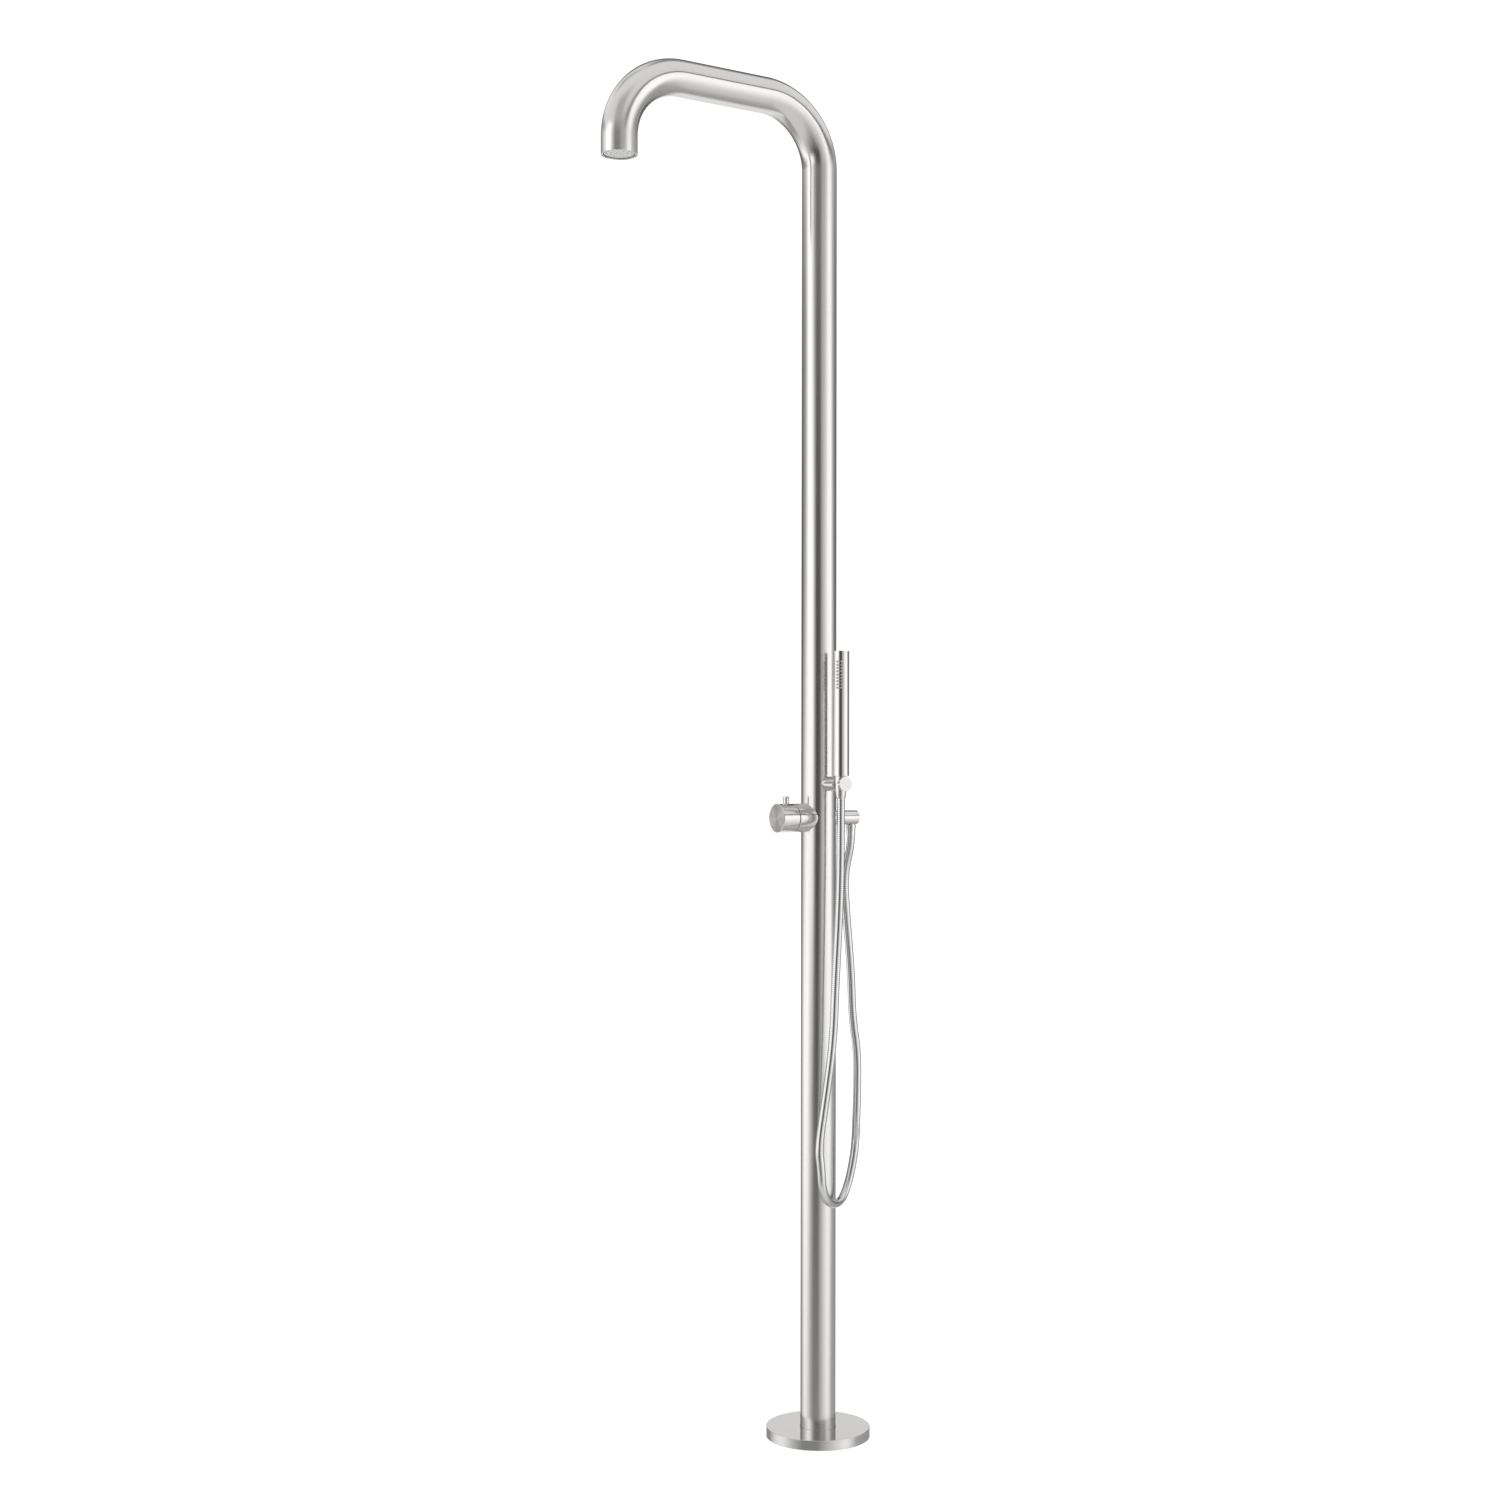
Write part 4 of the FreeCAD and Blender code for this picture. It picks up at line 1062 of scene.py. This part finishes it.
@dataclass
class HandShower:
    """Side holder, the hose's cone nut in it and the baton hand shower above."""

    holder_lip: float = 0.4 * MM
    slot_width: float = 15.5 * MM
    seat_gap: float = 0.3 * MM
    seat_taper: float = 1.2 * MM
    nut_wall: float = 2.5 * MM
    nut_waist: float = 9.3 * MM
    nut_tip: float = 7.7 * MM
    nut_bore: float = 5.0 * MM
    nut_depth: float = 17.0 * MM
    nut_segments: int = 72
    seat_segments: int = 64
    edge: float = 0.35 * MM
    wall: float = 2.0 * MM
    tube_segments: int = 128
    sleeve_wall: float = 1.8 * MM
    sleeve_gap: float = 0.1 * MM
    rows: int = 9
    columns: int = 5
    first_row: float = 148.0 * MM
    row_pitch: float = 5.5 * MM
    fan: float = math.radians(120)
    nozzle_radius: float = 1.8 * MM
    nozzle_room: float = 0.25 * MM
    hole_segments: int = 20
    nozzle_rise: float = 1.4 * MM

    def build(self) -> None:
        """Builds holder, nut and hand shower."""
        tube = Extent.of("handset_tube")
        self.foot = tube.low.z
        self.top = tube.high.z
        self.radius = tube.half.y
        self.nut = Extent.of("cone_nut")
        self.holder = Extent.of("holder_arm")
        self.spindle = self.nut.spindle
        self.centre = self.spindle.centre
        self._holder()
        self._cone_nut()
        self._tube()
        self._cap()
        self._nozzles()

    def _holder(self) -> None:
        """Bar with the nut's conical seat through it and the slot on its front."""
        height, radius, end = self.holder.middle.z, self.holder.half.z, self.holder.high.x
        blank = Blank.saddled(radius, [(radius, end), (0, end)], self.holder_lip)
        piece = blank.moved(Side.RIGHT.at(height)).filled().piece("holder_bar")
        top = self.nut.half.x + self.seat_gap
        reach = radius + REACH_PAST
        seat = Blank.turned([(0, -reach), (top - self.seat_taper, -reach), (top, reach), (0, reach)],
                            self.seat_segments)
        drilled(piece, seat.shifted(self.centre.x, 0, height))
        slot = Blank()
        bmesh.ops.create_cube(slot.mesh, size=1.0)
        slot.moved(Matrix.Diagonal((self.slot_width, 2 * radius, 4 * radius, 1)))
        drilled(piece, slot.shifted(self.centre.x, -radius, height))
        eased(piece, self.edge)
        piece.modifiers.new("fair_shading", "WEIGHTED_NORMAL").weight = 100
        spindle = Side.RIGHT.spindle(height)
        fitted(piece, BAR_STEEL.material(spindle), Body.POST, Slot.TURNED, "holder_arm")
        faced(piece, spindle, END_STEEL)

    def _cone_nut(self) -> None:
        """Cone nut with a straight head over the holder and a long taper through it."""
        radius, top, foot = self.nut.half.x, self.nut.high.z, self.nut.low.z
        inner, floor = radius - self.nut_wall, top - self.nut_depth
        blank = Blank.turned([
            (inner, top), (radius, top), (radius, self.holder.high.z),
            (self.nut_waist, self.holder.low.z), (self.nut_tip, foot), (self.nut_bore, foot),
            (self.nut_bore, floor), (inner, floor)], self.nut_segments)
        piece = eased(blank.shifted(*self.centre).piece("cone_nut_turned"), self.edge)
        fitted(piece, BAR_STEEL.material(self.spindle), Body.HOSE_END, Slot.TURNED, "cone_nut")

    def _nozzle_places(self, radius: float) -> list[Matrix]:
        """Places of the nozzles, each with local Z pointing out of the tube.

        Args:
            radius: Distance of the nozzles' feet from the tube's axis.

        Returns:
            A matrix for each nozzle, row by row.
        """
        places = []
        out = Matrix.Translation((0, -radius, 0)) @ Matrix.Rotation(math.pi / 2, 4, "X")
        for row in range(self.rows):
            height = self.foot + self.first_row + row * self.row_pitch
            for column in range(self.columns):
                share = column / (self.columns - 1) - 0.5
                turn = Matrix.Rotation(self.fan * share, 4, "Z")
                places.append(Matrix.Translation((self.centre.x, 0, height)) @ turn @ out)
        return places

    def _tube(self) -> None:
        """Hand shower tube with a hole for each nozzle."""
        blank = Blank.ring(self.radius - self.wall, self.radius, self.foot, self.top,
                           self.tube_segments)
        piece = blank.shifted(*self.centre).piece("hand_shower_tube")
        punch = Blank.ring(0, self.nozzle_radius + self.nozzle_room, -2 * self.wall, REACH_PAST,
                           self.hole_segments)
        drilled(piece, Blank().stamp(punch, self._nozzle_places(self.radius)))
        give_grain(piece, lambda place: place - self.centre)
        self._round_shading(piece)
        fitted(piece, HANDSET_STEEL.material(), Body.HANDSET, Slot.BRUSHED, "handset_tube")

    def _round_shading(self, piece: Piece) -> None:
        """Shades the drilled tube as a true cylinder, and its rims and holes flat.

        Args:
            piece: The tube.
        """
        data = piece.data
        normals = []
        for polygon in data.polygons:
            middle = polygon.center - self.centre
            outward = polygon.normal.dot(Vector((middle.x, middle.y, 0)).normalized())
            for loop in polygon.loop_indices:
                place = data.vertices[data.loops[loop].vertex_index].co - self.centre
                across = Vector((place.x, place.y, 0)).normalized()
                if abs(outward) > CURVED:
                    normals.append(across * math.copysign(1.0, outward))
                else:
                    normals.append(polygon.normal.copy())
        data.normals_split_custom_set(normals)

    def _cap(self) -> None:
        """Flat cap in the tube's top."""
        cap = Extent.of("handset_cap")
        blank = Blank.ring(0, cap.half.y, cap.low.z, cap.high.z)
        piece = eased(blank.shifted(*self.centre).piece("hand_shower_cap"), self.edge)
        fitted(piece, TURNED_STEEL.material(self.spindle), Body.HANDSET, Slot.TURNED, "handset_cap")

    def _nozzles(self) -> None:
        """Soft sleeve in the tube, with the nozzles that stand out through its holes."""
        insert = Extent.of("spray_insert")
        outer = self.radius - self.wall - self.sleeve_gap
        sleeve = Blank.ring(outer - self.sleeve_wall, outer, insert.low.z, insert.high.z)
        rise = self.wall + self.sleeve_gap + self.nozzle_rise
        sleeve.shifted(*self.centre).stamp(Nozzle(self.nozzle_radius, rise).blank(),
                                           self._nozzle_places(outer))
        piece = sleeve.piece("hand_shower_nozzles")
        piece.data.set_sharp_from_angle(angle=NOZZLE_CREASE)
        fitted(piece, SILICONE.material(), Body.HANDSET, Slot.SILICONE, "spray_insert")


# ---------------------------------------------------------------- outlet and hose

@dataclass
class Outlet:
    """Hose outlet at the back of the post and the hose's nut under it."""

    foot_lip: float = 0.4 * MM
    seam_from_end: float = 3.4 * MM
    seam_width: float = 0.4 * MM
    seam_depth: float = 0.3 * MM
    edge: float = 0.13 * MM
    nut_collar: float = 6.0 * MM
    nut_shoulder: float = 6.0 * MM
    nut_wall: float = 1.6 * MM
    nut_step: float = 0.7 * MM
    nut_groove: float = 0.3 * MM
    groove_width: float = 0.6 * MM
    nut_foot: float = 7.3 * MM
    nut_bore: float = 5.0 * MM
    nut_segments: int = 72

    def build(self) -> None:
        """Builds the outlet bar and the nut."""
        self._bar()
        self._nut()

    def _bar(self) -> None:
        """Bar saddled to the post, with the seam of its end plug."""
        body = Extent.of("outlet_body")
        height, radius, end = body.middle.z, body.half.z, body.high.y
        deep = radius - self.seam_depth
        front = end - self.seam_from_end
        back = front - self.seam_width
        blank = Blank.saddled(radius, [
            (radius, back), (deep, back), (deep, front), (radius, front), (radius, end), (0, end)],
            self.foot_lip)
        piece = eased(blank.moved(Side.BACK.at(height)).filled().piece("outlet_bar"), self.edge)
        spindle = Side.BACK.spindle(height)
        fitted(piece, BAR_STEEL.material(spindle), Body.POST, Slot.TURNED, "outlet_body")
        faced(piece, spindle, END_STEEL)

    def _nut(self) -> None:
        """Round hose nut with a collar at its top and a slimmer, tapered sleeve."""
        nut = Extent.of("outlet_nut")
        radius, top, foot = nut.half.x, nut.high.z, nut.low.z
        bore = radius - self.nut_wall
        waist = radius - self.nut_step
        groove = waist - self.nut_groove
        collar = top - self.nut_collar
        sleeve = collar - self.groove_width
        shoulder = foot + self.nut_shoulder
        blank = Blank.turned([
            (bore, top), (radius, top), (radius, collar), (groove, collar), (groove, sleeve),
            (waist, sleeve), (waist, shoulder), (self.nut_foot, foot), (self.nut_bore, foot),
            (self.nut_bore, shoulder), (bore, shoulder)], self.nut_segments)
        piece = eased(blank.shifted(*nut.spindle.centre).piece("outlet_nut_turned"), self.edge)
        fitted(piece, BAR_STEEL.material(nut.spindle), Body.POST, Slot.TURNED, "outlet_nut")


@dataclass
class Hose:
    """Hanging metal hose from the cone nut, round the post, up to the outlet."""

    diameter: float = 14.0 * MM
    length: float = 1.370
    rib_pitch: float = 3.2 * MM
    rib_depth: float = 0.15 * MM
    groove_share: float = 0.12
    steps_per_rib: int = 8
    sides: int = 24
    lift_start: float = 0.020
    lift_end: float = 0.092
    path_step: int = 4
    route: tuple[tuple[float, float, float], ...] = (
        (0.067, 0.000, 1.083), (0.067, 0.000, 0.990), (0.069, -0.004, 0.893),
        (0.068, -0.011, 0.775), (0.069, -0.016, 0.675), (0.069, -0.033, 0.572),
        (0.070, -0.046, 0.502), (0.0734, -0.0429, 0.466), (0.0728, -0.0402, 0.431),
        (0.0607, -0.0179, 0.4025), (0.0383, 0.0197, 0.3985), (0.0293, 0.0412, 0.425),
        (0.0285, 0.0512, 0.459), (0.0294, 0.0565, 0.493), (0.017, 0.067, 0.530),
        (0.010, 0.074, 0.586), (0.004, 0.078, 0.647), (-0.004, 0.073, 0.705),
        (-0.008, 0.073, 0.785), (-0.012, 0.066, 0.880), (-0.012, 0.061, 0.950),
        (0.000, 0.067, 1.001), (0.000, 0.067, 1.019),
    )

    def build(self) -> None:
        line = self._even_points(self._smooth_line())
        piece = self._winding(line)
        dressed(piece, HoseSteel().material())
        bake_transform(piece)
        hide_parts("hose_tube")
        log.info("hose rides between post and hose_end")

    def _smooth_line(self) -> list[Vector]:
        """Points of the smooth curve through the route.

        Returns:
            The curve's points, close together, from the cone nut to the outlet.
        """
        data = bpy.data.curves.new("hose_route", "CURVE")
        data.dimensions = "3D"
        data.resolution_u = 48
        spline = data.splines.new("NURBS")
        spline.points.add(len(self.route) - 1)
        for point, place in zip(spline.points, self.route):
            point.co = (*place, 1.0)
        spline.order_u = 3
        spline.use_endpoint_u = True
        obj = bpy.data.objects.new("hose_route", data)
        bpy.context.scene.collection.objects.link(obj)
        mesh = evaluated(obj)
        points = [vertex.co.copy() for vertex in mesh.vertices]
        bpy.data.meshes.remove(mesh)
        bpy.data.objects.remove(obj)
        bpy.data.curves.remove(data)
        return points

    def _even_points(self, points: Sequence[Vector]) -> list[Vector]:
        """Spaces points evenly along a line.

        Args:
            points: The line's points.

        Returns:
            Points with a fixed number of steps for each rib.
        """
        runs = [(after - before).length for before, after in zip(points, points[1:])]
        total = sum(runs)
        count = round(total / self.rib_pitch) * self.steps_per_rib
        even = [points[0].copy()]
        index, passed = 0, 0.0
        for step in range(1, count):
            target = total * step / count
            while passed + runs[index] < target:
                passed += runs[index]
                index += 1
            even.append(points[index].lerp(points[index + 1], (target - passed) / runs[index]))
        even.append(points[-1].copy())
        return even

    def _winding(self, line: Sequence[Vector]) -> Piece:
        """Rolls a grid round the line into a tube with a fine screw of grooves.

        Args:
            line: Points of the hose's centre line.

        Returns:
            The hose, with its rib attribute, which marks the grooves for painted shade.
        """
        across = self._across(line)
        steps = len(line) - 1 + self.steps_per_rib
        blank = Blank()
        bmesh.ops.create_grid(blank.mesh, x_segments=steps, y_segments=self.sides, size=1.0)
        rib = blank.mesh.verts.layers.float.new("rib")
        for vert in blank.mesh.verts:
            step = round((vert.co.x + 1) / 2 * steps)
            turn = round((vert.co.y + 1) / 2 * self.sides) / self.sides
            share = (step / self.steps_per_rib) % 1.0
            crest = min(1.0, min(share, 1 - share) / self.groove_share)
            reached = min(max(step - turn * self.steps_per_rib, 0.0), len(line) - 1.0)
            index = min(int(reached), len(line) - 2)
            middle, side, other = (
                low.lerp(high, reached - index)
                for low, high in zip((line[index], *across[index]),
                                     (line[index + 1], *across[index + 1])))
            angle = math.tau * turn
            way = side.normalized() * math.cos(angle) + other.normalized() * math.sin(angle)
            vert.co = middle + way * (self.diameter / 2 - self.rib_depth * (1 - crest))
            # The rib attribute falls from 1 on the crests to 0 in the grooves, where the material
            # paints shade.
            vert[rib] = crest
        return blank.filled().piece("shower_hose")

    @staticmethod
    def _across(line: Sequence[Vector]) -> list[tuple[Vector, Vector]]:
        """Two directions across the line at each point, carried along without a twist.

        Args:
            line: Points of the line.

        Returns:
            The pair of directions for each point.
        """
        pairs = []
        side = Vector((1, 0, 0))
        for before, after in zip([line[0], *line[:-1]], [*line[1:], line[-1]]):
            way = (after - before).normalized()
            side = (side - way * side.dot(way)).normalized()
            pairs.append((side, way.cross(side)))
        return pairs


# ---------------------------------------------------------------- hidden pieces

def dress_hidden_pieces(frame: dict) -> None:
    """Gives every CAD node the finish of its slot.

    Args:
        frame: The loaded frame.
    """
    finishes = {slot.value: finish.material() for slot, finish in HIDDEN_FINISHES.items()}
    for entry in frame["record"]["subparts"]:
        dressed(frame["nodes"][entry["node"]], finishes[entry["material_slot"]])


# ---------------------------------------------------------------- studio

# Brightness of the studio all round at one level, as (degrees, brightness). 0 degrees is the
# direction of the camera, and positive angles lie to the picture's right.
FLOOR_GLOW = (
    (-180, 1.1), (-150, 0.9), (-130, 0.5), (-98, 0.5), (-85, 0.9), (76, 0.9), (106, 0.6),
    (150, 0.5), (165, 1.1), (180, 1.2))
LOW_PANELS = (
    (-180, 1.0), (-172, 1.0), (-164, 0.3), (-138, 0.35), (-113, 1.1), (-100, 1.3), (-84, 1.25),
    (-60, 0.7), (-36, 0.3), (-3, 0.3), (22, 0.75), (58, 1.3), (67, 1.3), (94, 0.55), (164, 0.35),
    (172, 1.0))
KNEE_PANELS = (
    (-180, 1.0), (-172, 1.0), (-164, 0.2), (-136, 0.5), (-115, 1.4), (-104, 1.6), (-78, 1.6),
    (-46, 0.55), (-30, 0.15), (-8, 0.1), (8, 0.45), (50, 1.4), (84, 1.5), (98, 0.75), (110, 0.5),
    (164, 0.2), (172, 1.0))
EYE_PANELS = (
    (-180, 1.0), (-172, 1.0), (-164, 0.15), (-136, 0.25), (-117, 0.8), (-95, 1.4), (-80, 1.55),
    (-42, 1.6), (-30, 0.65), (-18, 0.1), (5, 0.1), (20, 0.6), (33, 0.8), (60, 1.5), (84, 1.65),
    (98, 0.8), (120, 0.3), (164, 0.1), (172, 1.0))
BROW_PANELS = (
    (-180, 1.0), (-172, 1.0), (-164, 0.1), (-136, 0.15), (-100, 0.65), (-75, 1.6), (-42, 1.6),
    (-30, 0.65), (-18, 0.1), (5, 0.1), (20, 0.6), (33, 0.85), (60, 1.5), (84, 1.65), (98, 0.8),
    (120, 0.25), (164, 0.1), (172, 1.0))
HIGH_PANELS = (
    (-180, 0.9), (-170, 0.9), (-162, 0.2), (-118, 0.3), (-97, 0.45), (-78, 1.5), (-68, 1.9),
    (-60, 1.8), (-33, 0.5), (-18, 0.19), (3, 0.19), (18, 0.65), (32, 0.7), (62, 1.5), (75, 1.55),
    (96, 0.6), (118, 0.3), (162, 0.2), (170, 0.9))
FOOT_PANELS = (
    (-180, 0.9), (-170, 0.9), (-162, 0.25), (-138, 0.4), (-113, 1.2), (-84, 1.9), (-66, 1.8),
    (-36, 0.5), (-20, 0.3), (3, 0.3), (30, 0.5), (45, 0.9), (58, 1.95), (70, 1.9), (94, 0.9),
    (110, 0.6), (162, 0.25), (170, 0.9))
DARK_GAP = (
    (-180, 0.9), (-170, 0.9), (-162, 0.2), (-106, 0.6), (-60, 2.0), (-25, 0.4), (25, 0.6),
    (52, 0.1), (85, 0.1), (130, 0.6), (162, 0.2), (170, 0.9))
UPPER_PANELS = (
    (-180, 0.1), (-162, 0.1), (-148, 0.8), (-136, 1.05), (-98, 1.05), (-40, 0.9), (-25, 0.6),
    (5, 0.6), (30, 0.95), (138, 1.05), (152, 0.4), (160, 0.1))
CEILING_GLOW = (
    (-180, 0.6), (-160, 0.9), (-135, 1.0), (-125, 0.6), (-102, 0.6), (-92, 1.0), (136, 1.0),
    (150, 0.4))


@dataclass
class Studio:
    """Camera at the photograph's angle, a pale floor and a plain white studio round the post."""

    focal: float = 2169.24
    picture: float = 1500.0
    sensor: float = 36.0
    eye: tuple[float, float, float] = (3.0802, -2.0631, 1.1149)
    heading: float = math.radians(148.0)
    look_up: float = math.radians(0.782)
    roll: float = math.radians(0.096)
    floor_size: float = 60.0
    floor_glow: float = 0.45
    backdrop: float = 1.1
    panels: tuple[tuple[float, Stops], ...] = (
        (-42.0, FLOOR_GLOW), (-15.0, LOW_PANELS), (-6.5, KNEE_PANELS), (-1.5, EYE_PANELS),
        (5.0, BROW_PANELS), (13.5, HIGH_PANELS), (17.0, FOOT_PANELS), (19.0, DARK_GAP),
        (23.0, DARK_GAP), (26.5, UPPER_PANELS), (44.0, UPPER_PANELS), (58.0, CEILING_GLOW))

    def build(self) -> None:
        """Sets up camera, floor, walls of light and the way colours are shown."""
        self._camera()
        self._floor()
        self._walls()
        bpy.context.scene.view_settings.view_transform = "Standard"

    def _camera(self) -> None:
        """Camera at the photograph's place and angle."""
        data = bpy.data.cameras.new("photo_camera")
        data.sensor_width = self.sensor
        data.lens = self.sensor * self.focal / self.picture
        data.clip_end = 200
        camera = bpy.data.objects.new("photo_camera", data)
        ahead = Vector((math.cos(self.heading) * math.cos(self.look_up),
                        math.sin(self.heading) * math.cos(self.look_up), math.sin(self.look_up)))
        turn = ahead.to_track_quat("-Z", "Y").to_matrix()
        turn = turn @ Matrix.Rotation(self.roll, 3, "Z")
        camera.matrix_world = Matrix.Translation(self.eye) @ turn.to_4x4()
        bpy.context.scene.collection.objects.link(camera)
        bpy.context.scene.camera = camera

    def _floor(self) -> None:
        """Pale floor that runs out into the white of the studio."""
        blank = Blank()
        bmesh.ops.create_grid(blank.mesh, x_segments=1, y_segments=1, size=self.floor_size / 2)
        floor = blank.piece("studio_floor")
        sheet = Sheet("studio_floor", {"Roughness": 0.9, "Specular IOR Level": 0.0,
                                       "Emission Color": WHITE, "Emission Strength": self.floor_glow})
        mottle = sheet.noise(sheet.place(), scale=3.0, detail=2.0)
        pale = sheet.mixed(mottle, tone(WHITE[:3], 0.90), tone(WHITE[:3], 0.93))
        sheet.feed(sheet.shader, {"Base Color": pale})
        dressed(floor, sheet.material)
        floor.visible_glossy = False

    def _walls(self) -> None:
        """Light panels and dark gaps round the post, as directions from it."""
        world = bpy.data.worlds.new("studio_light")
        bpy.context.scene.world = world
        world.use_nodes = True
        world.node_tree.nodes.clear()
        wiring = Wiring(world.node_tree)
        turn = wiring.add("ShaderNodeVectorRotate", {
            "Vector": wiring.add("ShaderNodeTexCoord").outputs["Generated"],
            "Angle": -(self.heading + math.pi)}, rotation_type="Z_AXIS")
        way = wiring.add("ShaderNodeSeparateXYZ", {"Vector": turn.outputs["Vector"]}).outputs
        angle = wiring.add("ShaderNodeMath", {0: way["Y"], 1: way["X"]}, operation="ARCTAN2")
        rise = wiring.add("ShaderNodeMath", {0: way["Z"]}, operation="ARCSINE").outputs["Value"]
        around = wiring.ranged(angle.outputs["Value"], (-math.pi, math.pi))
        level, stops = self.panels[0]
        glow = self._ramp(wiring, around, stops)
        for next_level, stops in self.panels[1:]:
            share = wiring.ranged(rise, (math.radians(level), math.radians(next_level)))
            glow = wiring.mixed(share, glow, self._ramp(wiring, around, stops))
            level = next_level
        light = wiring.add("ShaderNodeBackground", {"Color": glow})
        backdrop = wiring.add("ShaderNodeBackground", {"Color": WHITE, "Strength": self.backdrop})
        mix = wiring.add("ShaderNodeMixShader", {
            "Fac": wiring.add("ShaderNodeLightPath").outputs["Is Camera Ray"],
            1: light.outputs["Background"], 2: backdrop.outputs["Background"]})
        wiring.add("ShaderNodeOutputWorld", {"Surface": mix.outputs["Shader"]})

    @staticmethod
    def _ramp(wiring: Wiring, around: Socket, stops: Stops) -> Socket:
        """Brightness all round at one level.

        Args:
            wiring: The world's nodes.
            around: Socket of the direction, from 0 to 1 for a full turn.
            stops: Direction in degrees and brightness of each stop, in order.

        Returns:
            The socket of the colour.
        """
        ramp = wiring.add("ShaderNodeValToRGB", {"Fac": around})
        elements = ramp.color_ramp.elements
        while len(elements) < len(stops):
            elements.new(0.5)
        for element, (degrees, bright) in zip(elements, stops):
            element.position = (degrees + 180.0) / 360.0
            element.color = (bright, bright, bright, 1)
        return ramp.outputs["Color"]


def main() -> None:
    """Builds the shower post's pieces round the frame, in order."""
    logging.basicConfig(level=logging.INFO, format="%(name)s: %(message)s")
    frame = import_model()
    Studio().build()
    dress_hidden_pieces(frame)
    parts = (Riser(), Base(), Control(), HandShower(), Outlet(), Hose())
    for part in parts:
        part.build()


if __name__ == "__main__":
    main()
